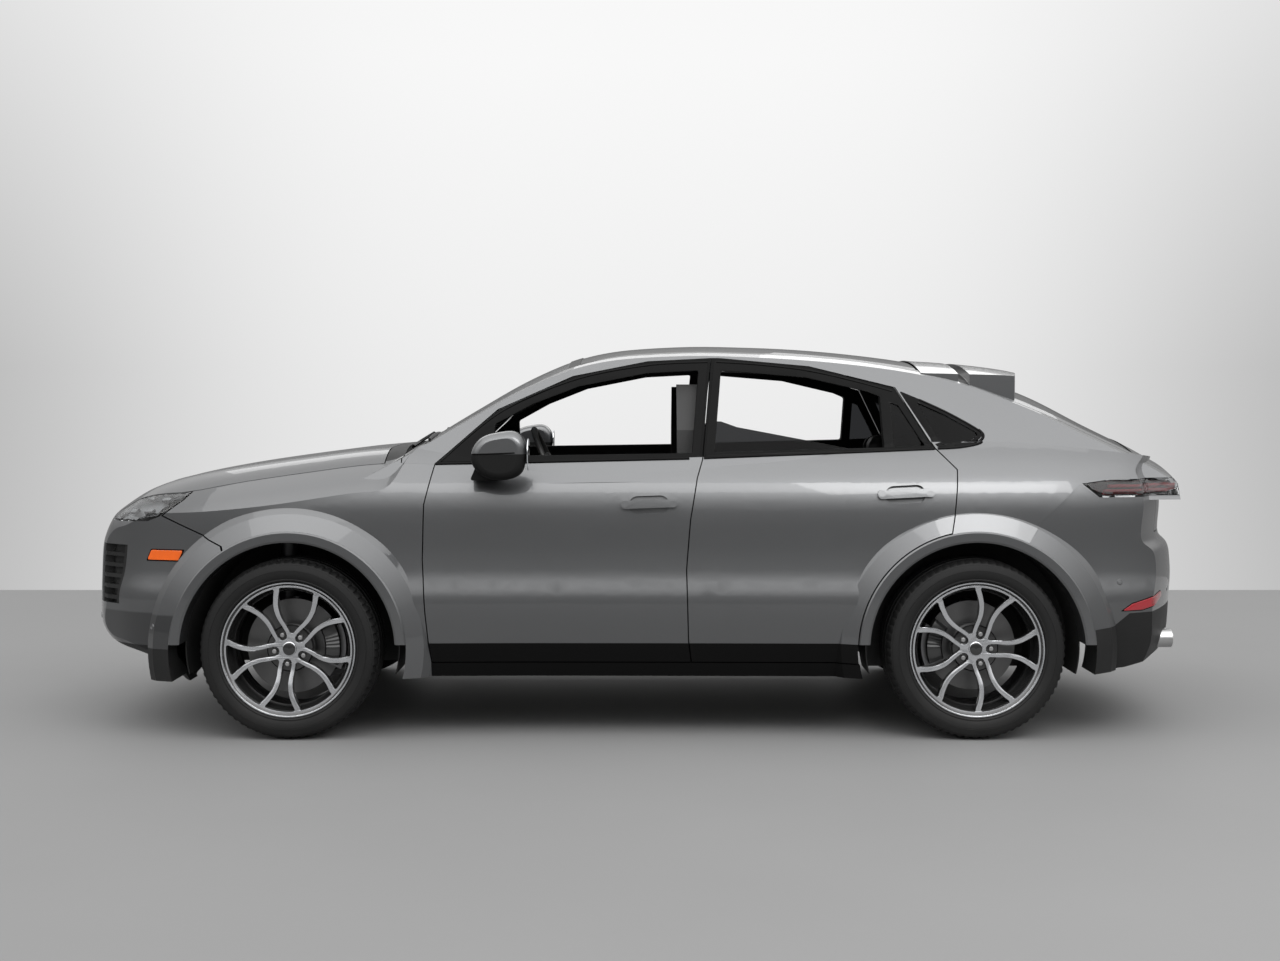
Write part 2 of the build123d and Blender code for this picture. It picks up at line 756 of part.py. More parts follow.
with BuildPart() as bumper_rear_half:
    add(rear_left)
    add(prism(rear_bumper_outline), mode=Mode.INTERSECT)
    add(tailgate_hole, mode=Mode.SUBTRACT)
    add(arch(rear_axle_x, trim_radius + seat, 0, reach), mode=Mode.SUBTRACT)
with BuildPart() as rear_bumper:
    add(bumper_rear_half.part)
    add(prism(diffuser_outline), mode=Mode.SUBTRACT)
    mirror(about=Plane.XZ)
write(rear_bumper.part, "rear_bumper")
with BuildPart() as rear_diffuser:
    add(bumper_rear_half.part)
    add(prism([(x, z - seat) for x, z in diffuser_outline]), mode=Mode.INTERSECT)
    mirror(about=Plane.XZ)
exhaust_plane = Plane((exhaust_root_x, 0, exhaust_z), x_dir=(0, 1, 0), z_dir=(1, 0, 0))
exhaust_spots = [(hand * y, 0) for hand in (-1, 1) for y in exhaust_ys]
with BuildPart() as exhaust_holes:
    with BuildSketch(exhaust_plane):
        with Locations(*exhaust_spots):
            Circle(exhaust_radius + seat)
    extrude(amount=length)
write(rear_diffuser.part - exhaust_holes.part, "rear_diffuser")
with BuildPart() as exhaust:
    with BuildSketch(exhaust_plane):
        with Locations(*exhaust_spots):
            Circle(exhaust_radius)
            Circle(exhaust_radius - exhaust_wall, mode=Mode.SUBTRACT)
    extrude(amount=exhaust_tip_x - exhaust_root_x)
write(exhaust.part, "exhaust")

# ---- windshield, roof glass and the headers between the rails
with BuildPart() as windshield:
    add(glass_layer.part)
    add(plan_zone(windshield_edge, -seat), mode=Mode.INTERSECT)
write(windshield.part, "windshield")
with BuildPart() as roof_glass:
    add(glass_layer.part)
    add(plan_zone(roof_glass_edge, -seat), mode=Mode.INTERSECT)
write(roof_glass.part, "roof_glass")

# ---- side frame: pillars, roof rail, sill and rear quarter
hinge_pillar = (
    box(-985, door_front_x - 2, -850, -790, sill_bottom, 1000)
    + box(-985, door_front_x - 2, -800, -740, sill_bottom, 1150)
)
centre_pillar = prism(
    [(783, floor_top + seat), (783, 1000), (765, 1060), (722, 1150), (706, 1300), (584, 1500),
     (540, 1500), (655, 1300), (675, 1150), (738, 1000), (738, floor_top + seat)],
    -270, -150, plane=Plane((0, 0, 0), x_dir=(0, -1, 0), z_dir=(-1, 0, 0)),
)
with BuildPart() as side_frame:
    add(rear_left)
    add(pillar_foot.part)
    add(prism(fender_outline, grow=seat), mode=Mode.SUBTRACT)
    add(prism(front_door_outline, door_inner_y - gap, grow=gap), mode=Mode.SUBTRACT)
    add(prism(rear_door_outline, door_inner_y - gap, grow=gap), mode=Mode.SUBTRACT)
    add(prism(quarter_window), mode=Mode.SUBTRACT)
    add(prism(tail_lamp_outline, grow=seat), mode=Mode.SUBTRACT)
    add(prism(rear_bumper_outline, grow=seat), mode=Mode.SUBTRACT)
    add(tailgate_hole, mode=Mode.SUBTRACT)
    add(arch(rear_axle_x, trim_radius + seat, 0, reach), mode=Mode.SUBTRACT)
    add(plan_zone(windshield_edge), mode=Mode.SUBTRACT)
    add(plan_zone(roof_edge), mode=Mode.SUBTRACT)
write_pair(side_frame.part, "side_frame")
with BuildPart() as hinge_blocks:
    for z in (440, 880):
        add(box(236, 268, -reach, -760, z, z + 60))
    add(lower_block(door_wall + 2 * seat, 0, 0), mode=Mode.INTERSECT)
centre_post = centre_pillar + hinge_blocks.part
write(
    Compound([hinge_pillar, centre_post, hinge_pillar.mirror(Plane.XZ), centre_post.mirror(Plane.XZ)]),
    "inner_pillars",
)


# ---- wheels and tyres
def wheel_plane(axle_x):
    """Profiles of round parts: local x is the radius (up), local y the distance to the left."""
    return Plane((axle_x, 0, wheel_z), x_dir=(0, 0, 1), z_dir=(1, 0, 0))


def ring(axle_x, points):
    """A body of revolution about a wheel's axis from (radius, distance) points."""
    with BuildPart() as turned:
        with BuildSketch(wheel_plane(axle_x)):
            with BuildLine():
                Polyline(*points, close=True)
            make_face()
        revolve(axis=Axis((axle_x, 0, wheel_z), (0, 1, 0)))
    return turned.part


def tyre(axle_x, middle, width):
    """A low-section tyre that fills the space above the rim's seat."""
    half = width / 2
    with BuildPart() as body:
        with BuildSketch(wheel_plane(axle_x)):
            with BuildLine():
                lines = Polyline(
                    (rim_radius + 4, middle + half - 9), (rim_radius + 3, middle + half - 18),
                    (bead_radius + seat, middle + half - 22), (bead_radius + seat, middle - half + 22),
                    (rim_radius + 3, middle - half + 18), (rim_radius + 4, middle - half + 9),
                )
                low = Spline(
                    lines @ 1, (rim_radius + 40, middle - half), (tyre_radius - 14, middle - half + 16),
                )
                tread_low = ThreePointArc(
                    low @ 1, (tyre_radius - 4, middle - half + 30), (tyre_radius - 1, middle - half + 45),
                )
                tread = ThreePointArc(
                    tread_low @ 1, (tyre_radius, middle), (tyre_radius - 1, middle + half - 45),
                )
                tread_high = ThreePointArc(
                    tread @ 1, (tyre_radius - 4, middle + half - 30), (tyre_radius - 14, middle + half - 16),
                )
                Spline(tread_high @ 1, (rim_radius + 40, middle + half), lines @ 0)
            make_face()
        revolve(axis=Axis((axle_x, 0, wheel_z), (0, 1, 0)))
    return body.part


def spoke(first_angle, hand):
    """One spoke of a pair, seen along the axis, from the hub out to the rim."""
    along = [(hub_radius - 24, 6), (72, 15), (150, 64), (bead_radius - 6, 83)]
    half_widths = [8, 9, 10, 12]
    near = [(r, hand * (across - w)) for (r, across), w in zip(along, half_widths)]
    far = [(r, hand * (across + w)) for (r, across), w in zip(along, half_widths)]
    with BuildSketch() as face:
        with BuildLine():
            inner = Spline(*near)
            outer = Spline(*far)
            Line(inner @ 0, outer @ 0)
            Line(inner @ 1, outer @ 1)
        make_face()
    return face.sketch.rotate(Axis.Z, first_angle)


def wheel(axle_x, middle, width, first_angle):
    """A cast wheel: rim, ten spokes in pairs and a hub, with its outer face to the left."""
    half = width / 2
    edge = middle + half - 9
    back = middle - half + 9
    mount = middle + wheel_offset
    barrel = ring(axle_x, [
        (rim_radius, edge), (rim_radius, edge - 8), (bead_radius, edge - 12), (bead_radius, edge - 44),
        (250, edge - 62), (250, back + 66), (bead_radius, back + 48), (bead_radius, back + 12),
        (rim_radius, back + 8), (rim_radius, back), (rim_radius - 7, back), (258, back + 12),
        (258, back + 44), (242, back + 62), (242, edge - 66), (256, edge - 40), (258, edge - 10),
        (rim_radius - 12, edge),
    ])
    dish = ring(axle_x, [
        (0, mount), (hub_radius, mount), (150, mount + 24), (bead_radius - 8, edge - 44),
        (bead_radius - 4, edge - 7), (150, edge - 20), (hub_radius, edge - 34), (0, edge - 36),
    ])
    with BuildPart() as spokes:
        with BuildSketch(Plane((axle_x, 0, wheel_z), x_dir=(1, 0, 0), z_dir=(0, -1, 0)).offset(mount - 20)):
            Circle(hub_radius)
            for i in range(5):
                for hand in (-1, 1):
                    add(spoke(first_angle + i * 72, hand))
        extrude(amount=width)
    with BuildPart() as whole:
        add(spokes.part)
        add(dish, mode=Mode.INTERSECT)
        add(barrel)
        with BuildSketch(Plane((axle_x, 0, wheel_z), x_dir=(1, 0, 0), z_dir=(0, -1, 0)).offset(edge - 60)):
            with PolarLocations(bolt_circle / 2, 5, start_angle=first_angle + 36):
                Circle(bolt_pocket)
        extrude(amount=80, mode=Mode.SUBTRACT)
    return whole.part


def brake_disc(axle_x, middle, radius):
    """A vented disc and its hat, bored for the spindle."""
    mount = middle + wheel_offset - seat
    return ring(axle_x, [
        (spindle_radius + 0.05, mount), (82, mount), (82, mount - 50), (radius, mount - 50),
        (radius, mount - 86), (74, mount - 86), (74, mount - 10), (44, mount - 10),
        (44, mount - 80), (spindle_radius + 0.05, mount - 80),
    ])


wheels = (
    ("front", front_axle_x, front_track / 2, front_tyre_width, front_disc_radius, 10),
    ("rear", rear_axle_x, rear_track / 2, rear_tyre_width, rear_disc_radius, 36),
)
for place, axle_x, middle, width, disc_radius, first_angle in wheels:
    write_pair(tyre(axle_x, middle, width), f"{place}_tyre")
    write_pair(wheel(axle_x, middle, width, first_angle), f"{place}_wheel")
    write_pair(brake_disc(axle_x, middle, disc_radius), f"{place}_brake_disc")


# ---- knuckles, brakes and suspension
def upright(axle_x, y, mount):
    """The knuckle's plate with its spindle, on the left."""
    shape = [
        (-28, 185), (28, 185), (45, 60), (70, 0), (45, -60), (28, -155), (-28, -155), (-45, -60),
        (-70, 0), (-45, 60),
    ]
    with BuildPart() as plate:
        with BuildSketch(Plane.XZ.offset(y - 20)):
            with BuildLine():
                Polyline(*[(axle_x + x, wheel_z + z) for x, z in shape], close=True)
            make_face()
        extrude(amount=34)
        with BuildSketch(Plane.XZ.offset(y)):
            with Locations((axle_x, wheel_z)):
                Circle(spindle_radius)
        extrude(amount=mount - 1 - y)
    return plate.part


def caliper(axle_x, mount, disc_radius, angle):
    """A caliper over the disc's edge with its bracket, in the given direction from the hub."""
    inner_leg = mount - 86 - running
    outer_leg = mount - 50 + running
    jaws = ring(axle_x, [
        (145, outer_leg + 24), (disc_radius + 26, outer_leg + 24), (disc_radius + 26, inner_leg - 22),
        (145, inner_leg - 22), (145, inner_leg), (disc_radius + running, inner_leg),
        (disc_radius + running, outer_leg), (145, outer_leg),
    ])
    with BuildPart() as whole:
        add(jaws)
        with BuildSketch(Plane((axle_x, 0, wheel_z), x_dir=(1, 0, 0), z_dir=(0, -1, 0)).offset(500)):
            with BuildLine():
                Polyline((0, 0), (400, -190), (400, 190), close=True)
            make_face()
        extrude(amount=500, mode=Mode.INTERSECT)
        caliper_plane = Plane((axle_x, 0, wheel_z), x_dir=(1, 0, 0), z_dir=(0, -1, 0)).offset(inner_leg - 40)
        with BuildSketch(caliper_plane):
            with Locations((105, 0)):
                Rectangle(130, 70)
        extrude(amount=34)
    return whole.part.rotate(Axis((axle_x, 0, wheel_z), (0, 1, 0)), angle)


front_mount = front_track / 2 + wheel_offset
rear_mount = rear_track / 2 + wheel_offset
with BuildPart() as front_knuckle:
    add(upright(front_axle_x, kingpin_y, front_mount))
    add(caliper(front_axle_x, front_mount, front_disc_radius, 0))
    with BuildSketch(Plane.XY.offset(steer_arm_z - 10)):
        with BuildLine():
            Polyline(
                (front_axle_x - 30, -kingpin_y + 18), (front_axle_x - steer_arm, -kingpin_y + 40),
                (front_axle_x - steer_arm, -kingpin_y + 14), (front_axle_x - 30, -kingpin_y - 12),
                close=True,
            )
        make_face()
    extrude(amount=20)
    with BuildSketch(Plane.XY):
        with Locations((front_axle_x, -kingpin_y)):
            Circle(pin_radius + 0.05)
    extrude(amount=low_joint_z + pin_length + 1, mode=Mode.SUBTRACT)
    with BuildSketch(Plane.XY.offset(high_joint_z - pin_length - 1)):
        with Locations((front_axle_x, -kingpin_y)):
            Circle(pin_radius + 0.05)
    extrude(amount=200, mode=Mode.SUBTRACT)
write_pair(front_knuckle.part, "front_knuckle")


def arm(axle_x, outer_y, inner_y, spread, z_low, thick):
    """A wishbone from its outer joint to two inner bushes."""
    with BuildPart() as plate:
        with BuildSketch(Plane.XY.offset(z_low)):
            with BuildLine():
                Polyline(
                    (axle_x - boss_radius, -outer_y), (axle_x + boss_radius, -outer_y),
                    (axle_x + spread + 22, -inner_y), (axle_x + spread - 26, -inner_y),
                    (axle_x, -outer_y + 75), (axle_x - spread + 26, -inner_y),
                    (axle_x - spread - 22, -inner_y), close=True,
                )
            make_face()
            with Locations((axle_x, -outer_y)):
                Circle(boss_radius)
        extrude(amount=thick)
    return plate.part


def upright_tube(x, y, z_low, z_high, radius):
    with BuildPart() as tube:
        with BuildSketch(Plane.XY.offset(z_low)):
            with Locations((x, -y)):
                Circle(radius)
        extrude(amount=z_high - z_low)
    return tube.part


def cross_tube(x, z, y_low, y_high, radius):
    with BuildPart() as tube:
        with BuildSketch(Plane.XZ.offset(y_low)):
            with Locations((x, z)):
                Circle(radius)
        extrude(amount=y_high - y_low)
    return tube.part


low_arm_z = low_joint_z - arm_thick - 0.5
front_arm_low = (
    arm(front_axle_x, kingpin_y, subframe_y + seat, 130, low_arm_z, arm_thick)
    + upright_tube(front_axle_x, kingpin_y, low_arm_z + arm_thick, low_joint_z + pin_length, pin_radius)
    + upright_tube(front_axle_x - strut_offset, strut_y, low_arm_z + arm_thick, 800, 36)
)
front_arm_high = (
    box(front_axle_x - boss_radius, front_axle_x + boss_radius, -kingpin_y, -arch_depth_front - 6 - seat,
        high_joint_z + 0.5, high_joint_z + 18)
    + upright_tube(front_axle_x, kingpin_y, high_joint_z + 0.5, high_joint_z + 18, boss_radius)
    + upright_tube(front_axle_x, kingpin_y, high_joint_z - pin_length, high_joint_z + 0.5, pin_radius)
)
with BuildPart() as front_frame:
    for x in (-150, 150):
        with BuildSketch(Plane.XY.offset(low_arm_z - 4)):
            with Locations((front_axle_x + x, 0)):
                Rectangle(70, 2 * subframe_y)
        extrude(amount=engine_bottom - seat - low_arm_z + 4)
    with BuildSketch(Plane.XY.offset(low_arm_z - 4)):
        for y in (-subframe_y + 30, subframe_y - 30):
            with Locations((front_axle_x, y)):
                Rectangle(300, 60)
    extrude(amount=engine_bottom - seat - low_arm_z + 4)
front_shaft = cross_tube(front_axle_x, wheel_z, engine_half + seat, 700, 15)
rack = cross_tube(front_axle_x - 185 - rack_radius - seat, rack_z, -440, 440, rack_radius)
front_side = [front_arm_low, front_arm_high, front_shaft]
write(
    Compound([front_frame.part + rack] + front_side + [part.mirror(Plane.XZ) for part in front_side]),
    "front_suspension",
)

rear_plate_y = rear_mount - 86 - 44
rear_carrier = upright(rear_axle_x, rear_plate_y, rear_mount) + caliper(
    rear_axle_x, rear_mount, rear_disc_radius, 180
)
rear_low_arm = (
    arm(rear_axle_x, rear_plate_y - 30, subframe_y - 1, 120, low_arm_z, arm_thick)
    + upright_tube(rear_axle_x, rear_plate_y - 3, low_arm_z, low_joint_z + 20, 18)
    + upright_tube(rear_axle_x + 90, 560, low_arm_z + arm_thick, 560 - seat, 38)
)
rear_frame = (
    box(rear_axle_x - 170, rear_axle_x - 110, -subframe_y, subframe_y, low_arm_z - 4, 290)
    + box(rear_axle_x + 110, rear_axle_x + 170, -subframe_y, subframe_y, low_arm_z - 4, 290)
    + box(rear_axle_x - 170, rear_axle_x + 170, -subframe_y, -subframe_y + 60, low_arm_z - 4, 290)
    + box(rear_axle_x - 170, rear_axle_x + 170, subframe_y - 60, subframe_y, low_arm_z - 4, 290)
    + box(rear_axle_x - 112, rear_axle_x + 112, -150, 150, 290 - 20, 460)
)
rear_shaft = cross_tube(rear_axle_x, wheel_z, 140, rear_plate_y - 10, 15)
rear_side = rear_carrier + rear_low_arm + rear_shaft
write(rear_frame + rear_side + rear_side.mirror(Plane.XZ), "rear_suspension")
write(
    box(
        front_axle_x - 330, front_axle_x + 420, -engine_half, engine_half, engine_bottom,
        engine_bottom + 600,
    ),
    "engine_block",
)


# ---- wheelhouses and arch trims
def wheelhouse(axle_x, inner_y):
    """A half-round liner with its inner wall, above the sill, on the left."""
    with BuildPart() as liner:
        add(arch(axle_x, arch_opening + 5, inner_y, trim_inner_y - seat))
        add(arch(axle_x, arch_opening, inner_y + 6, reach), mode=Mode.SUBTRACT)
        add(arch(axle_x, 45, 0, reach), mode=Mode.SUBTRACT)
        split(bisect_by=Plane.XY.offset(wheelhouse_z), keep=Keep.TOP)
    return liner.part


def arch_trim(axle_x):
    """The moulded lip round a wheel opening, down to the lower trim."""
    band = ring(axle_x, [
        (arch_opening, trim_inner_y), (arch_opening, flare_face + 2), (arch_opening + 8, flare_face + 8),
        (trim_radius - 6, flare_face + 8), (trim_radius, flare_face + 2), (trim_radius, trim_inner_y),
    ])
    with BuildPart() as lip:
        add(band)
        split(bisect_by=Plane.XY.offset(trim_end_z), keep=Keep.TOP)
    return lip.part


for name, axle_x, inner_y in (
    ("front", front_axle_x, arch_depth_front), ("rear", rear_axle_x, arch_depth_rear),
):
    liner = wheelhouse(axle_x, inner_y)
    write(Compound([liner, liner.mirror(Plane.XZ)]), f"{name}_wheelhouses")
trims = [arch_trim(front_axle_x), arch_trim(rear_axle_x)]
write(Compound(trims + [trim.mirror(Plane.XZ) for trim in trims]), "arch_trims")

# ---- floor, firewall, cowl and roof frame
floor_front = door_front_x - 2 + seat
with BuildPart() as floor_pan:
    with BuildSketch(Plane.XZ.offset(-floor_half)):
        with BuildLine():
            Polyline(
                (floor_front, floor_top - 20), (890, floor_top - 20), (1010, 560), (2100, 560),
                (2100, 580), (998, 580), (878, floor_top), (floor_front, floor_top), close=True,
            )
        make_face()
    extrude(amount=2 * floor_half)
    with BuildSketch(Plane.XZ.offset(-tunnel_half)):
        with BuildLine():
            Polyline((floor_front, 310), (700, 310), (660, 420), (floor_front, 420), close=True)
        make_face()
    extrude(amount=2 * tunnel_half)
    for hand in (-1, 1):
        add(
            box(rear_axle_x - 462, length / 2, hand * 820 - 180, hand * 820 + 180, 0, sky),
            mode=Mode.SUBTRACT,
        )
write(floor_pan.part, "floor_pan")
firewall = box(door_front_x - 20, door_front_x - 2, -739.7, 739.7, 300, 1165)
with BuildPart() as cowl:
    add(skin.part)
    add(box(hood_rear_x + gap, cowl_x - seat, -cowl_half, cowl_half, belt_front, sky), mode=Mode.INTERSECT)
    add(bay_hollow.part, mode=Mode.SUBTRACT)
write(Compound([firewall, cowl.part]), "firewall_cowl")
with BuildPart() as roof_frame:
    add(skin.part)
    add(plan_zone(roof_edge, -seat), mode=Mode.INTERSECT)
    add(box(header_x + seat, tailgate_x - seat, -reach, reach, 1300, sky), mode=Mode.INTERSECT)
    add(cabin_hollow.part, mode=Mode.SUBTRACT)
    add(plan_zone(roof_glass_edge), mode=Mode.SUBTRACT)
write(roof_frame.part, "roof_frame")


# ---- inside the cabin
seat_profile = [
    (-420, 470), (-400, 590), (30, 565), (215, 1120), (255, 1135), (250, 1180), (235, 1320), (330, 1320),
    (350, 1180), (330, 1130), (170, 540), (150, 320.3), (-300, 320.3), (-330, 440),
]
with BuildPart() as front_seat:
    with BuildSketch(Plane.XZ.offset(seat_y - 250)):
        with BuildLine():
            Polyline(*seat_profile, close=True)
        make_face()
    extrude(amount=500)
write(Compound([front_seat.part, front_seat.part.mirror(Plane.XZ)]), "front_seats")
with BuildPart() as rear_seat:
    with BuildSketch(Plane.XZ.offset(-610)):
        with BuildLine():
            Polyline(
                (720, 480), (690, 670), (1080, 640), (1190, 1130), (1280, 1130), (1230, 580.3),
                (997.5, 580.3), (877.5, 320.3), (760, 320.3), close=True,
            )
        make_face()
    extrude(amount=1220)
write(rear_seat.part, "rear_seat")
wheel_plane_tilted = Plane(
    (steering_x, -seat_y, steering_z), x_dir=(0, 1, 0),
    z_dir=(cos(radians(steering_tilt)), 0, sin(radians(steering_tilt))),
)
with BuildPart() as dashboard:
    with BuildSketch(Plane.XZ.offset(-735)):
        with BuildLine():
            Polyline(
                (floor_front, 1120), (-700, 1150), (-580, 1090), (-590, 960), (-660, 780),
                (floor_front, 760), close=True,
            )
        make_face()
    extrude(amount=1470)
    with BuildSketch(Plane.XZ.offset(-tunnel_half + 20)):
        with BuildLine():
            Polyline(
                (-700, 420.3), (-700, 900), (-560, 800), (-380, 640), (300, 620), (300, 420.3), close=True,
            )
        make_face()
    extrude(amount=2 * tunnel_half - 40)
    with BuildSketch(wheel_plane_tilted.offset(-column_length - seat)):
        Circle(column_radius + seat)
    extrude(amount=column_length, mode=Mode.SUBTRACT)
write(dashboard.part, "dashboard")
with BuildPart() as steering_wheel:
    with BuildSketch(wheel_plane_tilted.offset(-14)):
        Circle(steering_radius)
        Circle(steering_radius - 32, mode=Mode.SUBTRACT)
        Rectangle(2 * steering_radius - 20, 50)
        with Locations((0, -steering_radius / 2)):
            Rectangle(46, steering_radius - 20)
        Circle(75)
    extrude(amount=28)
    with BuildSketch(wheel_plane_tilted.offset(-column_length)):
        Circle(column_radius)
    extrude(amount=column_length - 10)
write(steering_wheel.part, "steering_wheel")

# ---- door mirrors
mirror_outline = [
    (-700, 1148), (-712, 1212), (-672, 1272), (-590, 1298), (-522, 1297), (-491, 1268),
    (-485, 1182), (-502, 1128), (-562, 1099), (-640, 1104),
]
mirror_middle = (-598, 1200)
mirror_sections = [(984, 0.74), (1006, 0.95), (1046, 1), (1078, 0.93), (1097, 0.7)]  # (distance, size)


with BuildPart() as mirror_left:
    for distance, size in mirror_sections:
        with BuildSketch(Plane.XZ.offset(distance)):
            with BuildLine():
                Spline(
                    *[
                        (
                            mirror_middle[0] + (x - mirror_middle[0]) * size,
                            mirror_middle[1] + (z - mirror_middle[1]) * size,
                        )
                        for x, z in mirror_outline
                    ],
                    periodic=True,
                )
            make_face()
    loft()
    with BuildSketch(Plane.XZ.offset(trim_inner_y - 20)):
        with BuildLine():
            Polyline((-722, 1094), (-604, 1094), (-590, 1128), (-612, 1150), (-700, 1146), close=True)
        make_face()
        fillet(vertices(), 8)
    extrude(amount=mirror_sections[1][0] - trim_inner_y + 20)
    add(left_side(-2 * seat), mode=Mode.SUBTRACT)
write_pair(mirror_left.part, "door_mirror")
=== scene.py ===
"""Finishes and fittings of a coupe sport utility vehicle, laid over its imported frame."""
import json
from math import atan2, cos, pi, radians, sin, sqrt

import bmesh
import bpy
from mathutils import Matrix, Vector
from mathutils.bvhtree import BVHTree


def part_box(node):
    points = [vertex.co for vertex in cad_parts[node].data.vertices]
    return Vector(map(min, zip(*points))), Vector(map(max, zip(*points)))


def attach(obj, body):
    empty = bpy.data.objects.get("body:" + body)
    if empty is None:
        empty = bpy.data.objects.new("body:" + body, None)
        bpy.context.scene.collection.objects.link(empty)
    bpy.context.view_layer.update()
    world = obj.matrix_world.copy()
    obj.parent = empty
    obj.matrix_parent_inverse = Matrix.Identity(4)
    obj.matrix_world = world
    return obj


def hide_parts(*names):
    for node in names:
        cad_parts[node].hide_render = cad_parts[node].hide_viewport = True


bl_info = {
    "name": "Coupe Sport Utility Vehicle",
    "version": (1, 0, 0),
    "blender": (4, 5, 0),
    "location": "3D View > Sidebar > Vehicle",
    "description": "Paint, glass, lamps, wheels, cabin and studio for the vehicle's frame",
    "category": "Object",
}

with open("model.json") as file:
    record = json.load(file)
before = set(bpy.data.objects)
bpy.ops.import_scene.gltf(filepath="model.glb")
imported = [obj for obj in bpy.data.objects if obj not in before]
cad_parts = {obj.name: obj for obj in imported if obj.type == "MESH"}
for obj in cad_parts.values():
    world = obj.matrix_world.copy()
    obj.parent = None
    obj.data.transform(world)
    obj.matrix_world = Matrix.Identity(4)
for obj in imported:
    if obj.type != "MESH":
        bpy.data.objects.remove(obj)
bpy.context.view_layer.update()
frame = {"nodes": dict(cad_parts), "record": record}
HANDS = (("left", -1), ("right", 1))
bodies = frame["record"]["behaviour"]["bodies"]
body_of_node = {node: body for body, nodes in bodies.items() for node in nodes}


# ---- materials ----------------------------------------------------------------------------
def shader_group(name, inputs, outputs):
    """A node group with named float, colour or vector sockets, ready to be filled in."""
    group = bpy.data.node_groups.new(name, "ShaderNodeTree")
    kinds = {"f": "NodeSocketFloat", "c": "NodeSocketColor", "v": "NodeSocketVector"}
    for label, kind, value in inputs:
        socket = group.interface.new_socket(label, in_out="INPUT", socket_type=kinds[kind])
        if value is not None:
            socket.default_value = value
    for label, kind in outputs:
        group.interface.new_socket(label, in_out="OUTPUT", socket_type=kinds[kind])
    return group, group.nodes.new("NodeGroupInput"), group.nodes.new("NodeGroupOutput")


class Tree:
    """Short calls that add linked nodes to a material or to a node group."""

    def __init__(self, tree):
        self.nodes, self.links = tree.nodes, tree.links

    def put(self, kind, sockets=(), **settings):
        node = self.nodes.new(kind)
        for key, value in settings.items():
            setattr(node, key, value)
        for key, value in dict(sockets).items():
            if isinstance(value, bpy.types.NodeSocket):
                self.links.new(value, node.inputs[key])
            else:
                node.inputs[key].default_value = value
        return node

    def math(self, operation, a, b=0.0, c=0.0, clamp=False):
        node = self.put("ShaderNodeMath", operation=operation, use_clamp=clamp)
        for i, value in enumerate((a, b, c)):
            if isinstance(value, bpy.types.NodeSocket):
                self.links.new(value, node.inputs[i])
            else:
                node.inputs[i].default_value = value
        return node.outputs[0]

    def mix(self, amount, first, second):
        node = self.put("ShaderNodeMix", data_type="RGBA")
        for i, value in ((0, amount), (6, first), (7, second)):
            if isinstance(value, bpy.types.NodeSocket):
                self.links.new(value, node.inputs[i])
            else:
                node.inputs[i].default_value = value
        return node.outputs[2]

    def ramp(self, value, stops):
        node = self.put("ShaderNodeMapRange", {"Value": value}, clamp=True)
        for key, number in zip(("From Min", "From Max", "To Min", "To Max"), stops):
            node.inputs[key].default_value = number
        return node.outputs[0]


def colour(r, g=None, b=None):
    return (r, r if g is None else g, r if b is None else b, 1.0)


def make_flake_group():
    """Metal flakes under a clear coat: colour and roughness that vary from flake to flake."""
    group, source, sink = shader_group(
        "metal_flake",
        [("Colour", "c", colour(0.3)), ("Strength", "f", 0.12), ("Size", "f", 900.0)],
        [("Colour", "c"), ("Roughness", "f")],
    )
    tree = Tree(group)
    place = tree.put("ShaderNodeTexCoord").outputs["Object"]
    cells = tree.put("ShaderNodeTexVoronoi", {"Vector": place, "Scale": source.outputs["Size"]})
    cloud = tree.put("ShaderNodeTexNoise", {"Vector": place, "Scale": 1.6, "Detail": 2.0})
    shift = tree.math("SUBTRACT", cells.outputs["Color"], 0.5)
    amount = tree.math("MULTIPLY_ADD", shift, source.outputs["Strength"], 1.0)
    broad = tree.math("MULTIPLY_ADD", cloud.outputs["Fac"], 0.05, 0.975)
    whole = tree.math("MULTIPLY", amount, broad)
    scaled = tree.put("ShaderNodeVectorMath", operation="SCALE")
    tree.links.new(source.outputs["Colour"], scaled.inputs[0])
    tree.links.new(whole, scaled.inputs["Scale"])
    tree.links.new(scaled.outputs[0], sink.inputs["Colour"])
    tree.links.new(tree.math("MULTIPLY_ADD", shift, 0.12, 0.34), sink.inputs["Roughness"])
    return group


def make_grain_group():
    """Moulded or stitched grain: a height, and a roughness that follows it."""
    group, source, sink = shader_group(
        "fine_grain",
        [("Scale", "f", 800.0), ("Roughness", "f", 0.6), ("Spread", "f", 0.15),
         ("Colour", "c", colour(0.03))],
        [("Height", "f"), ("Roughness", "f"), ("Colour", "c")],
    )
    tree = Tree(group)
    place = tree.put("ShaderNodeTexCoord").outputs["Object"]
    cells = tree.put("ShaderNodeTexVoronoi", {"Vector": place, "Scale": source.outputs["Scale"]},
                     feature="SMOOTH_F1")
    cloud = tree.put("ShaderNodeTexNoise", {"Vector": place, "Scale": 7.0, "Detail": 4.0})
    height = tree.math("SUBTRACT", 1.0, cells.outputs["Distance"])
    tree.links.new(height, sink.inputs["Height"])
    spread = tree.math("SUBTRACT", cloud.outputs["Fac"], 0.5)
    spread = tree.math("MULTIPLY_ADD", spread, source.outputs["Spread"], source.outputs["Roughness"])
    tree.links.new(spread, sink.inputs["Roughness"])
    tone = tree.ramp(cloud.outputs["Fac"], (0.3, 0.7, 0.88, 1.12))
    scaled = tree.put("ShaderNodeVectorMath", operation="SCALE")
    tree.links.new(source.outputs["Colour"], scaled.inputs[0])
    tree.links.new(tone, scaled.inputs["Scale"])
    tree.links.new(scaled.outputs[0], sink.inputs["Colour"])
    return group


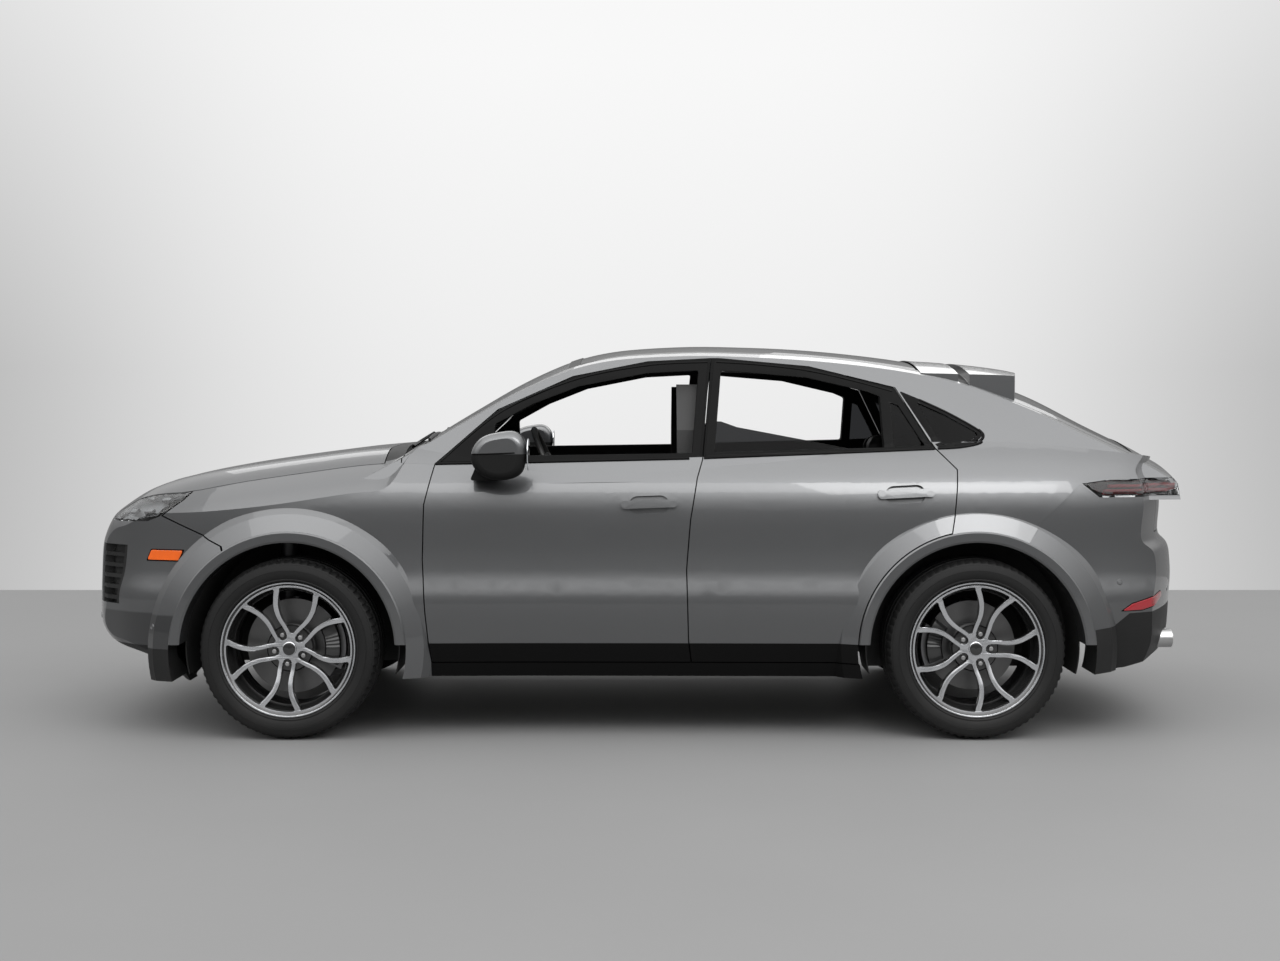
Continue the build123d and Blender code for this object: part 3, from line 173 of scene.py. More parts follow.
def make_dust_group():
    """Road dust that gathers low down: a mask from the height above the ground."""
    group, source, sink = shader_group(
        "road_dust", [("Top", "f", 0.3), ("Strength", "f", 0.25)], [("Mask", "f")],
    )
    tree = Tree(group)
    place = tree.put("ShaderNodeTexCoord").outputs["Object"]
    height = tree.put("ShaderNodeSeparateXYZ", {"Vector": place}).outputs["Z"]
    cloud = tree.put("ShaderNodeTexNoise", {"Vector": place, "Scale": 9.0, "Detail": 5.0})
    low = tree.math("SUBTRACT", 1.0, tree.math("DIVIDE", height, source.outputs["Top"]), clamp=True)
    mask = tree.math("MULTIPLY", low, tree.ramp(cloud.outputs["Fac"], (0.35, 0.65, 0.2, 1.0)))
    tree.links.new(tree.math("MULTIPLY", mask, source.outputs["Strength"], clamp=True), sink.inputs["Mask"])
    return group


groups = {}


def finish_material(name, **values):
    """A material with its Principled shader set from plain values; returns it with its tree."""
    material = bpy.data.materials.new(name)
    material.use_nodes = True
    tree = Tree(material.node_tree)
    shader = next(node for node in tree.nodes if node.type == "BSDF_PRINCIPLED")
    for key, value in values.items():
        shader.inputs[key.replace("_", " ")].default_value = value
    return material, tree, shader


def grained(name, base, roughness, scale, height, spread=0.15, dust=0.0, **values):
    """Moulded plastic, rubber or hide: a grain group that feeds colour, roughness and bump."""
    material, tree, shader = finish_material(name, **values)
    grain = tree.put("ShaderNodeGroup", node_tree=groups["grain"])
    grain.inputs["Scale"].default_value = scale
    grain.inputs["Roughness"].default_value = roughness
    grain.inputs["Spread"].default_value = spread
    grain.inputs["Colour"].default_value = base
    bump = tree.put(
        "ShaderNodeBump", {"Height": grain.outputs["Height"], "Strength": height, "Distance": 0.0006}
    )
    tint = grain.outputs["Colour"]
    if dust:
        mask = tree.put("ShaderNodeGroup", node_tree=groups["dust"])
        mask.inputs["Strength"].default_value = dust
        tint = tree.mix(mask.outputs["Mask"], tint, colour(0.16, 0.15, 0.14))
    tree.links.new(tint, shader.inputs["Base Color"])
    tree.links.new(grain.outputs["Roughness"], shader.inputs["Roughness"])
    tree.links.new(bump.outputs["Normal"], shader.inputs["Normal"])
    return material


def painted(name, base, **values):
    """Metallic paint with flakes under a clear coat."""
    material, tree, shader = finish_material(name, **values)
    flake = tree.put("ShaderNodeGroup", node_tree=groups["flake"])
    flake.inputs["Colour"].default_value = base
    tree.links.new(flake.outputs["Colour"], shader.inputs["Base Color"])
    tree.links.new(flake.outputs["Roughness"], shader.inputs["Roughness"])
    return material, tree, shader, flake


materials = {}


def assign(obj, *names):
    obj.data.materials.clear()
    for name in names:
        obj.data.materials.append(materials[name])


def make_materials():
    groups.update(flake=make_flake_group(), grain=make_grain_group(), dust=make_dust_group())
    sizes = bpy.context.scene.vehicle_finish
    paint, tree, shader, flake = painted(
        "paint", tuple(sizes.paint) + (1.0,), Metallic=0.72, Coat_Weight=1.0, Coat_Roughness=0.025
    )
    materials["paint"] = paint
    for name, line, plastic in (
        ("door_paint", 0.405, 0.004), ("sill_paint", 0.345, 0.004), ("mirror_paint", 1.2065, 0.012),
        ("arch_paint", None, 0), ("bumper_paint", None, 0),
    ):
        piece, tree, shader, flake = painted(
            name, tuple(sizes.paint) + (1.0,), Metallic=0.72, Coat_Weight=1.0, Coat_Roughness=0.025
        )
        place = tree.put("ShaderNodeTexCoord").outputs["Object"]
        axes = tree.put("ShaderNodeSeparateXYZ", {"Vector": place})
        if line is None:  # painted shade: the recess round the outside of the arch trims lies in shade, so its paint is darkened to half
            low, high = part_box("front_tyre_left")
            rear_low, rear_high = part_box("rear_tyre_left")
            front, rear = (low.x + high.x) / 2, (rear_low.x + rear_high.x) / 2
            along = tree.math("ABSOLUTE", tree.math("SUBTRACT", axes.outputs["X"], (front + rear) / 2))
            along = tree.math("SUBTRACT", along, (rear - front) / 2)
            up = tree.math("SUBTRACT", axes.outputs["Z"], (low.z + high.z) / 2)
            squares = tree.math("ADD", tree.math("MULTIPLY", along, along), tree.math("MULTIPLY", up, up))
            radius = tree.math("SQRT", squares)
            shade = tree.ramp(radius, (0.497, 0.501, 1.0, 0.5))
            # painted shade: below its lower line the front bumper's paint is darkened to under half, where
            # the face turns down into shade
            if name == "bumper_paint":
                shade = tree.ramp(axes.outputs["Z"], (0.522, 0.530, 0.45, 1.0))
            scaled = tree.put("ShaderNodeVectorMath", operation="SCALE")
            tree.links.new(flake.outputs["Colour"], scaled.inputs[0])
            tree.links.new(shade, scaled.inputs["Scale"])
            tree.links.new(scaled.outputs[0], shader.inputs["Base Color"])
            materials[name] = piece
            continue
        # the belt rises to the rear; beyond the line the panel is bare plastic
        belt = tree.math("MULTIPLY_ADD", axes.outputs["X"], 0.0302, 1.1790)
        above = tree.math("GREATER_THAN", axes.outputs["Z"], belt)
        below = tree.math("LESS_THAN", axes.outputs["Z"], line)
        bare = tree.math("MAXIMUM", above, below) if name == "door_paint" else below
        tint = tree.mix(bare, flake.outputs["Colour"], colour(plastic))
        tree.links.new(tint, shader.inputs["Base Color"])
        tree.links.new(tree.math("MULTIPLY_ADD", bare, -0.72, 0.72), shader.inputs["Metallic"])
        tree.links.new(tree.math("MULTIPLY_ADD", bare, 0.22, flake.outputs["Roughness"]),
                       shader.inputs["Roughness"])
        tree.links.new(tree.math("SUBTRACT", 1.0, bare), shader.inputs["Coat Weight"])
        tree.links.new(tree.math("MULTIPLY_ADD", bare, -0.44, 0.5), shader.inputs["Specular IOR Level"])
        materials[name] = piece
    materials["gloss_black"] = grained(
        "gloss_black", colour(0.003), 0.07, 500, 0.0, 0.02, Specular_IOR_Level=0.07
    )
    materials["black_trim"] = grained(
        "black_trim", colour(0.009), 0.5, 900, 0.25, dust=0.06, Specular_IOR_Level=0.3
    )
    materials["underbody"] = grained("underbody", colour(0.012), 0.8, 300, 0.4, dust=0.35)
    materials["structure"] = grained("structure", colour(0.02), 0.45, 250, 0.1)
    materials["cabin_plastic"] = grained("cabin_plastic", colour(0.015), 0.62, 1100, 0.35)
    materials["headliner"] = grained("headliner", colour(0.045, 0.044, 0.043), 0.9, 1500, 0.3)
    materials["hide"] = grained("hide", colour(0.014, 0.0135, 0.013), 0.48, 700, 0.45)
    materials["stitching"] = grained("stitching", colour(0.05), 0.7, 1500, 0.3)
    materials["tyre_rubber"] = grained(
        "tyre_rubber", colour(0.0055), 0.66, 650, 0.2, dust=0.05, Specular_IOR_Level=0.3
    )
    materials["machined_alloy"] = grained(
        "machined_alloy", colour(0.63, 0.64, 0.66), 0.24, 1400, 0.05, 0.08, Metallic=1.0,
        Coat_Weight=0.5, Coat_Roughness=0.06,
    )
    materials["dark_alloy"] = grained(
        "dark_alloy", colour(0.012), 0.2, 900, 0.03, 0.05, Coat_Weight=0.9, Coat_Roughness=0.04
    )
    # painted shade: the brake discs' iron is darker than bare iron, standing for the shade inside the wheels
    materials["disc_iron"] = grained("disc_iron", colour(0.15), 0.36, 1500, 0.1, Metallic=1.0)
    materials["cast_alloy"] = grained("cast_alloy", colour(0.22, 0.22, 0.225), 0.5, 260, 0.3, Metallic=0.9)
    materials["caliper_coat"] = grained("caliper_coat", colour(0.02), 0.3, 400, 0.1, Coat_Weight=0.6)
    materials["bright_metal"] = grained(
        "bright_metal", colour(0.72, 0.73, 0.74), 0.12, 800, 0.0, 0.04, Metallic=1.0
    )
    materials["satin_steel"] = grained("satin_steel", colour(0.5), 0.3, 1200, 0.05, Metallic=1.0)
    for name, tint, rough, through, shine in (
        ("tinted_glass", (0.16, 0.17, 0.175), 0.0, 1.0, 0.5),
        ("privacy_glass", (0.03, 0.031, 0.033), 0.0, 1.0, 0.14),
        ("roof_tint", (0.02, 0.021, 0.022), 0.02, 1.0, 1.0),
        ("clear_cover", (0.93, 0.94, 0.95), 0.0, 1.0, 1.0),
        ("lamp_crystal", (0.92, 0.94, 0.96), 0.04, 0.6, 1.0),
        ("red_lens", (0.30, 0.004, 0.012), 0.08, 0.25, 1.0),
        ("smoked_lens", (0.05, 0.012, 0.014), 0.05, 0.5, 0.6),
    ):
        glass, tree, shader = finish_material(
            name, IOR=1.5, Roughness=rough, Transmission_Weight=through,
            Specular_Tint=colour(shine),
        )
        film = tree.put("ShaderNodeTexNoise", {"Scale": 3.0, "Detail": 2.0})
        place = tree.put("ShaderNodeTexCoord").outputs["Object"]
        tree.links.new(place, film.inputs["Vector"])
        tone = tree.mix(film.outputs["Fac"], colour(*tint), colour(*[v * 0.92 for v in tint]))
        tree.links.new(tone, shader.inputs["Base Color"])
        materials[name] = glass
    materials["amber_lens"] = grained(
        "amber_lens", colour(0.75, 0.115, 0.006), 0.16, 380, 0.25, 0.05, Coat_Weight=1.0, Coat_Roughness=0.03,
    )
    materials["reflector_red"] = grained(
        "reflector_red", colour(0.26, 0.008, 0.014), 0.2, 420, 0.3, 0.05, Coat_Weight=1.0,
        Coat_Roughness=0.03,
    )
    materials["lamp_silver"] = grained(
        "lamp_silver", colour(0.30, 0.305, 0.31), 0.38, 600, 0.1, 0.1, Metallic=0.7,
    )
    materials["mirror_glass"] = grained(
        "mirror_glass", colour(0.8, 0.82, 0.85), 0.02, 400, 0.0, 0.01, Metallic=1.0
    )


NODE_FINISH = {
    "hood": "paint", "front_fenders": "paint", "front_bumper": "bumper_paint", "rear_bumper": "paint",
    "tailgate": "paint", "front_door": "door_paint", "rear_door": "door_paint", "side_frame": "sill_paint",
    "roof_spoiler": "paint", "spoiler_base": "paint",
    "front_skirt": "black_trim", "rear_diffuser": "black_trim", "arch_trims": "arch_paint",
    "door_mirror": "mirror_paint", "grille": "black_trim", "exhaust": "satin_steel",
    "headlamps": "clear_cover", "tail_lamps": "red_lens", "tail_light_bar": "red_lens",
    "windshield": "tinted_glass", "roof_glass": "roof_tint", "rear_glass": "privacy_glass",
    "quarter_glasses": "privacy_glass", "rear_door_glass": "privacy_glass",
    "roof_frame": "gloss_black", "firewall_cowl": "black_trim", "inner_pillars": "cabin_plastic",
    "front_wheelhouses": "underbody", "rear_wheelhouses": "underbody", "floor_pan": "underbody",
    "front_suspension": "cast_alloy", "rear_suspension": "cast_alloy", "front_knuckle": "cast_alloy",
    "engine_block": "cast_alloy", "front_seats": "hide", "rear_seat": "hide", "dashboard": "cabin_plastic",
    "steering_wheel": "hide", "front_tyre": "tyre_rubber", "rear_tyre": "tyre_rubber",
    "front_wheel": "dark_alloy", "rear_wheel": "dark_alloy",
    "front_brake_disc": "disc_iron", "rear_brake_disc": "disc_iron",
}


def plain_name(node):
    return node.removesuffix("_left").removesuffix("_right")


# ---- mesh helpers -------------------------------------------------------------------------
def add_mesh(name, points, faces, finishes, body, slot=None, smooth=32.0, face_finish=None):
    """A mesh object from points and faces in metres, finished, smoothed and riding on a body."""
    mesh = bpy.data.meshes.new(name)
    mesh.from_pydata([tuple(p) for p in points], [], faces)
    mesh.validate()
    for finish in finishes:
        mesh.materials.append(materials[finish])
    if face_finish:
        for face in mesh.polygons:
            face.material_index = face_finish(face)
    return add_object(name, mesh, body, smooth)


def add_object(name, mesh, body, smooth=32.0):
    for face in mesh.polygons:
        face.use_smooth = True
    mesh.set_sharp_from_angle(angle=radians(smooth))
    obj = bpy.data.objects.new(name, mesh)
    bpy.context.scene.collection.objects.link(obj)
    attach(obj, body)
    return obj


def grid_faces(rows, columns, close_rows=False, close_columns=False):
    """Quads of a grid whose point (i, j) has index i * columns + j."""
    faces = []
    for i in range(rows if close_rows else rows - 1):
        for j in range(columns if close_columns else columns - 1):
            a, b = i * columns + j, i * columns + (j + 1) % columns
            c, d = ((i + 1) % rows) * columns + (j + 1) % columns, ((i + 1) % rows) * columns + j
            faces.append((a, b, c, d))
    return faces


def merge(parts):
    """One list of points and one of faces from several (points, faces) pairs."""
    points, faces = [], []
    for some_points, some_faces in parts:
        base = len(points)
        points += list(some_points)
        faces += [tuple(base + i for i in face) for face in some_faces]
    return points, faces


def turned(profile, centre, steps, hand, shape=None):
    """A closed profile of (radius, distance) turned about a wheel's axis; distance grows outwards."""
    points = []
    for i in range(steps):
        angle = 2 * pi * i / steps
        for j, (radius, distance) in enumerate(profile):
            if shape:
                radius = shape(i, j, radius, distance)
            points.append((
                centre[0] + radius * cos(angle), centre[1] + hand * distance, centre[2] + radius * sin(angle),
            ))
    faces = grid_faces(steps, len(profile), True, True)
    return points, [face[::hand] for face in faces]


# ---- tyres and wheels ---------------------------------------------------------------------
def tyre_profile(radius, half, rim):
    """The outside of a low-section tyre from the inner bead over the tread to the outer bead."""
    shoulder = [
        (rim - 0.012, half - 0.024), (rim + 0.002, half - 0.016), (rim + 0.004, half - 0.0075),
        (rim + 0.009, half - 0.0045), (rim + 0.0125, half - 0.0052), (rim + 0.0135, half - 0.0066),
        (rim + 0.022, half - 0.0030), (rim + 0.034, half - 0.0008), (rim + 0.045, half - 0.0004),
        (rim + 0.0458, half - 0.0016), (rim + 0.0480, half - 0.0016), (rim + 0.0488, half - 0.0006),
        (rim + 0.060, half - 0.0030), (radius - 0.024, half - 0.0075), (radius - 0.0235, half - 0.0100),
        (radius - 0.0175, half - 0.0125), (radius - 0.0125, half - 0.0175), (radius - 0.0080, half - 0.0260),
        (radius - 0.0050, half - 0.0360), (radius - 0.0030, half - 0.0520),
    ]
    outer = list(shoulder)
    for middle, width in ((half * 0.56, 0.009), (half * 0.19, 0.0115)):
        level = radius - 0.0022 if middle > half * 0.4 else radius - 0.0006
        outer += [
            (level, middle + width / 2 + 0.0012), (level - 0.0072, middle + width / 2),
            (level - 0.0072, middle - width / 2), (level + 0.0004, middle - width / 2 - 0.0012),
        ]
    return outer + [(r, -d) for r, d in reversed(outer)]


def make_tyre(place, hand_name, hand):
    node = f"{place}_tyre_{hand_name}"
    low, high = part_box(node)
    half = (high.y - low.y) / 2
    radius = (high.z - low.z) / 2
    centre = ((low.x + high.x) / 2, (low.y + high.y) / 2, (low.z + high.z) / 2)
    rim = 0.2845
    profile = tyre_profile(radius - 0.0004, half - 0.0006, rim)
    pitches = 70
    phases = (0.0, 0.30, 0.74, 0.82)

    def block(i, j, r, d):
        """Cross grooves over the shoulders."""
        phase = i % 4
        a = abs(d)
        if half - 0.056 < a < half - 0.0165 and phase >= 2:
            return r - 0.0058
        return r

    points = []
    for i in range(pitches * 4):
        for j, (r, d) in enumerate(profile):
            lean = 0.10 * abs(d) / half
            angle = 2 * pi * ((i // 4) + phases[i % 4] + lean) / pitches
            r2 = block(i, j, r, d)
            points.append((centre[0] + r2 * cos(angle), centre[1] + hand * d, centre[2] + r2 * sin(angle)))
    faces = [face[::hand] for face in grid_faces(pitches * 4, len(profile), True, True)]
    tyre = add_mesh(f"tyre_{place}_{hand_name}", points, faces, ["tyre_rubber"],
                    f"{place}_wheel_{hand_name}", "tyre", 28)
    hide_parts(node)
    return centre, half


def spoke_edge(axis, side, edge):
    """One long edge of a spoke: side -1 or 1 of its pair, edge -1 inner or 1 outer, from hub to rim."""
    keys = [(0.046, 7.0, 0.0068), (0.066, 12.0, 0.0072), (0.095, 19.5, 0.0078), (0.125, 24.0, 0.0084),
            (0.155, 25.4, 0.0090), (0.190, 24.4, 0.0096), (0.225, 21.6, 0.0102), (0.250, 19.3, 0.0110),
            (0.270, 17.6, 0.0125)]
    line = []
    for r, angle, half in keys:
        turn = radians(axis + side * (angle + edge * 57.2958 * half / r))
        line.append((r * cos(turn), r * sin(turn)))
    return line


def smooth_line(points, count):
    """Points along a Catmull-Rom curve through the given points."""
    line = []
    last = len(points) - 1
    for k in range(count):
        t = k * last / (count - 1)
        i = min(int(t), last - 1)
        u = t - i
        p = [points[max(0, min(last, i + n))] for n in (-1, 0, 1, 2)]
        line.append(tuple(
            0.5 * (2 * p[1][c] + (p[2][c] - p[0][c]) * u
                   + (2 * p[0][c] - 5 * p[1][c] + 4 * p[2][c] - p[3][c]) * u * u
                   + (3 * p[1][c] - p[0][c] - 3 * p[2][c] + p[3][c]) * u ** 3)
            for c in (0, 1)
        ))
    return line


def round_corners(loop, radius, steps=5):
    """A closed loop with its sharp corners rounded."""
    out = []
    count = len(loop)
    for i, point in enumerate(loop):
        before, after = Vector(loop[i - 1]), Vector(loop[(i + 1) % count])
        here = Vector(point)
        a, b = (before - here), (after - here)
        if a.length < 1e-9 or b.length < 1e-9:
            continue
        turn = a.angle(-b)
        if turn < radians(28):
            out.append(point)
            continue
        reach = min(radius, a.length * 0.9, b.length * 0.9)
        start, end = here + a.normalized() * reach, here + b.normalized() * reach
        for k in range(steps + 1):
            t = k / steps
            out.append(tuple((1 - t) ** 2 * start + 2 * t * (1 - t) * here + t * t * end))
    return out


def arc_points(radius, start, end, count):
    return [(radius * cos(radians(start + (end - start) * k / (count - 1))),
             radius * sin(radians(start + (end - start) * k / (count - 1)))) for k in range(count)]


def polar_angle(point):
    return atan2(point[1], point[0]) * 180 / pi


def wheel_openings(first_axis):
    """The loops cut from the wheel's face: inside each pair of spokes and between the pairs."""
    loops = []
    rim = 0.262
    for k in range(5):
        axis = first_axis + 72 * k
        left = smooth_line(spoke_edge(axis, 1, -1)[1:-1], 26)
        right = smooth_line(spoke_edge(axis, -1, -1)[1:-1], 26)
        start, end = polar_angle(left[-1]), polar_angle(right[-1])
        if end > start:
            end -= 360
        loops.append(round_corners(left + arc_points(rim, start, end, 14) + right[::-1], 0.008))
        outer = smooth_line(spoke_edge(axis, 1, 1)[1:-1], 26)
        following = smooth_line(spoke_edge(axis + 72, -1, 1)[1:-1], 26)
        start, end = polar_angle(following[-1]), polar_angle(outer[-1])
        if end > start:
            end -= 360
        middle = radians(axis + 36)
        pocket = []
        for m in range(13):
            turn = middle - pi / 2 - pi * m / 12
            pocket.append((0.061 * cos(middle) + 0.0185 * cos(turn),
                           0.061 * sin(middle) + 0.0185 * sin(turn)))
        loops.append(round_corners(
            following + arc_points(rim, start, end, 14) + outer[::-1] + pocket, 0.008
        ))
    return loops


def face_depth(r):
    """How far the spokes' faces lie behind the rim's edge, by radius."""
    keys = [(0.0, 0.034), (0.060, 0.034), (0.090, 0.031), (0.150, 0.020), (0.210, 0.0125), (0.262, 0.0085),
            (0.275, 0.0080)]
    for (r0, d0), (r1, d1) in zip(keys, keys[1:]):
        if r <= r1:
            return d0 + (d1 - d0) * (r - r0) / (r1 - r0)
    return keys[-1][1]


def flat_cut(outline, holes, thick, bevel):
    """A flat plate with rounded edges cut to an outline with holes, as a mesh about z = 0."""
    curve = bpy.data.curves.new("cut", "CURVE")
    curve.dimensions = "2D"
    curve.fill_mode = "BOTH"
    curve.extrude = thick / 2 - bevel
    curve.bevel_depth = bevel
    curve.bevel_resolution = 1
    for loop in [outline, *holes]:
        spline = curve.splines.new("POLY")
        spline.points.add(len(loop) - 1)
        for point, (x, y) in zip(spline.points, loop):
            point.co = (x, y, 0, 1)
        spline.use_cyclic_u = True
    obj = bpy.data.objects.new("cut", curve)
    bpy.context.scene.collection.objects.link(obj)
    bpy.context.view_layer.update()
    mesh = bpy.data.meshes.new_from_object(obj.evaluated_get(bpy.context.evaluated_depsgraph_get()))
    bpy.data.objects.remove(obj)
    bpy.data.curves.remove(curve)
    return mesh


def make_wheel(place, hand_name, hand, centre, half, first_axis):
    """A cast wheel with paired spokes, machined faces and black flanks."""
    body = f"{place}_wheel_{hand_name}"
    edge = half - 0.009  # the rim's outer edge, from the tyre's middle
    plate = flat_cut(arc_points(0.2685, 0, 358, 180), wheel_openings(first_axis), 0.036, 0.0011)
    bm = bmesh.new()
    bm.from_mesh(plate)
    bmesh.ops.remove_doubles(bm, verts=bm.verts, dist=0.00002)
    long_edges = [e for e in bm.edges if e.calc_length() > 0.05]
    bmesh.ops.subdivide_edges(bm, edges=long_edges, cuts=2)
    for vert in bm.verts:
        r = sqrt(vert.co.x ** 2 + vert.co.y ** 2)
        deep = vert.co.z < 0
        y = edge - face_depth(r) + (vert.co.z - 0.018)
        if deep:
            y -= 0.010 * max(0.0, 1 - r / 0.2)
        vert.co = Vector((
            centre[0] + vert.co.x, centre[1] + hand * y, centre[2] + vert.co.y,
        ))
    bmesh.ops.recalc_face_normals(bm, faces=bm.faces)
    bm.to_mesh(plate)
    bm.free()
    plate.name = f"spokes_{place}_{hand_name}"
    for finish in ("machined_alloy", "dark_alloy"):
        plate.materials.append(materials[finish])
    for face in plate.polygons:
        face.material_index = 0 if face.normal.y * hand > 0.93 else 1
    spokes = add_object(f"spokes_{place}_{hand_name}", plate, body, 30)
    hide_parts(f"{place}_wheel_{hand_name}")
    rim = 0.2845
    barrel = [
        (rim - 0.0065, edge - 0.0005), (rim - 0.0055, edge), (rim - 0.0012, edge), (rim, edge - 0.0012),
        (rim, edge - 0.008), (0.268, edge - 0.012), (0.268, edge - 0.044), (0.250, edge - 0.062),
        (0.250, -edge + 0.066), (0.268, -edge + 0.048), (0.268, -edge + 0.012), (rim, -edge + 0.008),
        (rim, -edge), (rim - 0.007, -edge), (0.258, -edge + 0.012), (0.258, -edge + 0.044),
        (0.242, -edge + 0.062), (0.242, edge - 0.066), (0.252, edge - 0.048), (0.262, edge - 0.030),
        (0.2665, edge - 0.010), (rim - 0.0078, edge - 0.0030),
    ]
    points, faces = turned(barrel, centre, 192, hand)
    ring = len(barrel)

    def lip(face):
        rows = {v % ring for v in face.vertices}
        return 0 if rows <= {0, 1, 2, ring - 1} else 1

    add_mesh(f"rim_{place}_{hand_name}", points, faces, ["machined_alloy", "dark_alloy"], body,
             "wheel_alloy", 30, lip)
    hub = [
        (0.0005, 0.006), (0.094, 0.006), (0.100, 0.012), (0.100, edge - 0.060), (0.094, edge - 0.052),
        (0.060, edge - 0.050), (0.0005, edge - 0.050),
    ]
    hub = [(r, max(d, 0.046)) for r, d in hub]
    points, faces = turned(hub, centre, 64, hand)
    add_mesh(f"hub_{place}_{hand_name}", points, faces, ["dark_alloy"], body, "wheel_alloy")
    cap = [
        (0.0004, edge - 0.0255), (0.018, edge - 0.0262), (0.0265, edge - 0.0275), (0.0295, edge - 0.0290),
        (0.0305, edge - 0.0320), (0.0305, edge - 0.0420), (0.0004, edge - 0.0420),
    ]
    points, faces = turned(cap, centre, 64, hand)
    add_mesh(f"hub_cap_{place}_{hand_name}", points, faces, ["dark_alloy", "machined_alloy"], body,
             "wheel_alloy", 30, lambda face: 1 if {v % 7 for v in face.vertices} <= {2, 3} else 0)
    bolts = []
    for k in range(5):
        turn = radians(first_axis + 36 + 72 * k)
        spot = (centre[0] + 0.065 * cos(turn), centre[1], centre[2] + 0.065 * sin(turn))
        head = [(0.0005, edge - 0.033), (0.0060, edge - 0.033), (0.0066, edge - 0.0345),
                (0.0088, edge - 0.0350),
                (0.0098, edge - 0.0365), (0.0105, edge - 0.056), (0.0005, edge - 0.056)]
        bolts.append(turned(head, spot, 24, hand))
    points, faces = merge(bolts)
    add_mesh(f"wheel_bolts_{place}_{hand_name}", points, faces, ["satin_steel"], body, "wheel_alloy", 25)


# ---- pieces laid on the skin --------------------------------------------------------------
VIEWS = {  # where a look at the skin starts from and which way it goes
    "left": (Vector((0, -2, 0)), Vector((0, 1, 0)), 0, 2),
    "right": (Vector((0, 2, 0)), Vector((0, -1, 0)), 0, 2),
    "top": (Vector((0, 0, 3)), Vector((0, 0, -1)), 0, 1),
    "nose": (Vector((-4, 0, 0)), Vector((1, 0, 0)), 1, 2),
    "tail": (Vector((4, 0, 0)), Vector((-1, 0, 0)), 1, 2),
}


def skin(*nodes):
    """The outside of some of the frame's nodes, ready to be looked up."""
    points, faces = [], []
    for node in nodes:
        obj = frame["nodes"][node]
        base = len(points)
        points += [obj.matrix_world @ vert.co for vert in obj.data.vertices]
        faces += [[base + i for i in face.vertices] for face in obj.data.polygons]
    return BVHTree.FromPolygons(points, faces)


def find(tree, view, a, b):
    """The skin's place and normal at (a, b) as seen from one side, in metres."""
    start, way, first, second = VIEWS[view]
    for reach in (0.0, 0.002, 0.005, 0.010, 0.020):
        for step in range(8 if reach else 1):
            here = start.copy()
            here[first] = a + reach * cos(step * pi / 4)
            here[second] = b + reach * sin(step * pi / 4)
            place, normal, _, _ = tree.ray_cast(here, way)
            if place is not None:
                place[first], place[second] = a, b
                return place, -normal if normal.dot(way) > 0 else normal
    here[first], here[second] = a, b
    place, normal, _, _ = tree.find_nearest(here + way * 1.1)
    return place, -normal if normal.dot(way) > 0 else normal


def cut_grid(bm, step, axes=(0, 1)):
    """Cuts a flat mesh along a grid so that it can bend with the skin."""
    for axis in axes:
        values = [vert.co[axis] for vert in bm.verts]
        low, high = min(values), max(values)
        count = int((high - low) / step)
        for k in range(1, count + 1):
            place, normal = Vector((0, 0, 0)), Vector((0, 0, 0))
            place[axis] = low + (high - low) * k / (count + 1)
            normal[axis] = 1
            bmesh.ops.bisect_plane(
                bm, geom=bm.verts[:] + bm.edges[:] + bm.faces[:], plane_co=place, plane_no=normal, dist=1e-6
            )


def patch(name, tree, view, outline, body, finish, thick=0.004, lift=0.001, bevel=0.001,
          step=0.03, holes=(), corner=0.006, smooth=34.0):
    """A thin rounded plate that follows the skin within an outline, in metres."""
    mesh = flat_cut(round_corners(outline, corner), [round_corners(h, corner) for h in holes], thick, bevel)
    bm = bmesh.new()
    bm.from_mesh(mesh)
    bmesh.ops.remove_doubles(bm, verts=bm.verts, dist=0.00001)
    cut_grid(bm, step)
    for vert in bm.verts:
        place, normal = find(tree, view, vert.co.x, vert.co.y)
        vert.co = place + normal * (lift - thick / 2 + vert.co.z)
    bmesh.ops.recalc_face_normals(bm, faces=bm.faces)
    bm.to_mesh(mesh)
    bm.free()
    mesh.materials.append(materials[finish])
    return add_object(name, mesh, body, smooth)


def moulding(name, tree, view, path, body, finish, width=0.008, height=0.004, sunk=0.001, closed=False,
             count=80, slot=None, lean_to=0.0):
    """A rounded strip that runs along the skin through the points of a path."""
    line = smooth_line(path, count) if len(path) > 2 else [
        (path[0][0] + (path[1][0] - path[0][0]) * k / (count - 1),
         path[0][1] + (path[1][1] - path[0][1]) * k / (count - 1)) for k in range(count)]
    spots = [find(tree, view, a, b) for a, b in line]
    places = [place for place, _ in spots]
    section = [(-0.5, -sunk), (-0.5, height * 0.35), (-0.36, height * 0.8), (-0.15, height),
               (0.15, height), (0.36, height * 0.8), (0.5, height * 0.35), (0.5, -sunk)]
    points = []
    for i, (place, normal) in enumerate(spots):
        before, after = places[max(0, i - 1)], places[min(len(places) - 1, i + 1)]
        along = (after - before).normalized()
        side = along.cross(normal).normalized()
        up = side.cross(along).normalized()
        for across, out in section:
            points.append(place + side * (across * width) + up * (out + lean_to * across))
    size = len(section)
    faces = grid_faces(len(spots), size, closed, True)
    if not closed:
        faces += [tuple(range(size)), tuple(range(len(points) - size, len(points)))[::-1]]
    obj = add_mesh(name, points, faces, [finish], body, slot, 40)
    fix_normals(obj)
    return obj


def fix_normals(obj):
    bm = bmesh.new()
    bm.from_mesh(obj.data)
    bmesh.ops.recalc_face_normals(bm, faces=bm.faces)
    bm.to_mesh(obj.data)
    bm.free()


def mm(points):
    return [(a / 1000, b / 1000) for a, b in points]


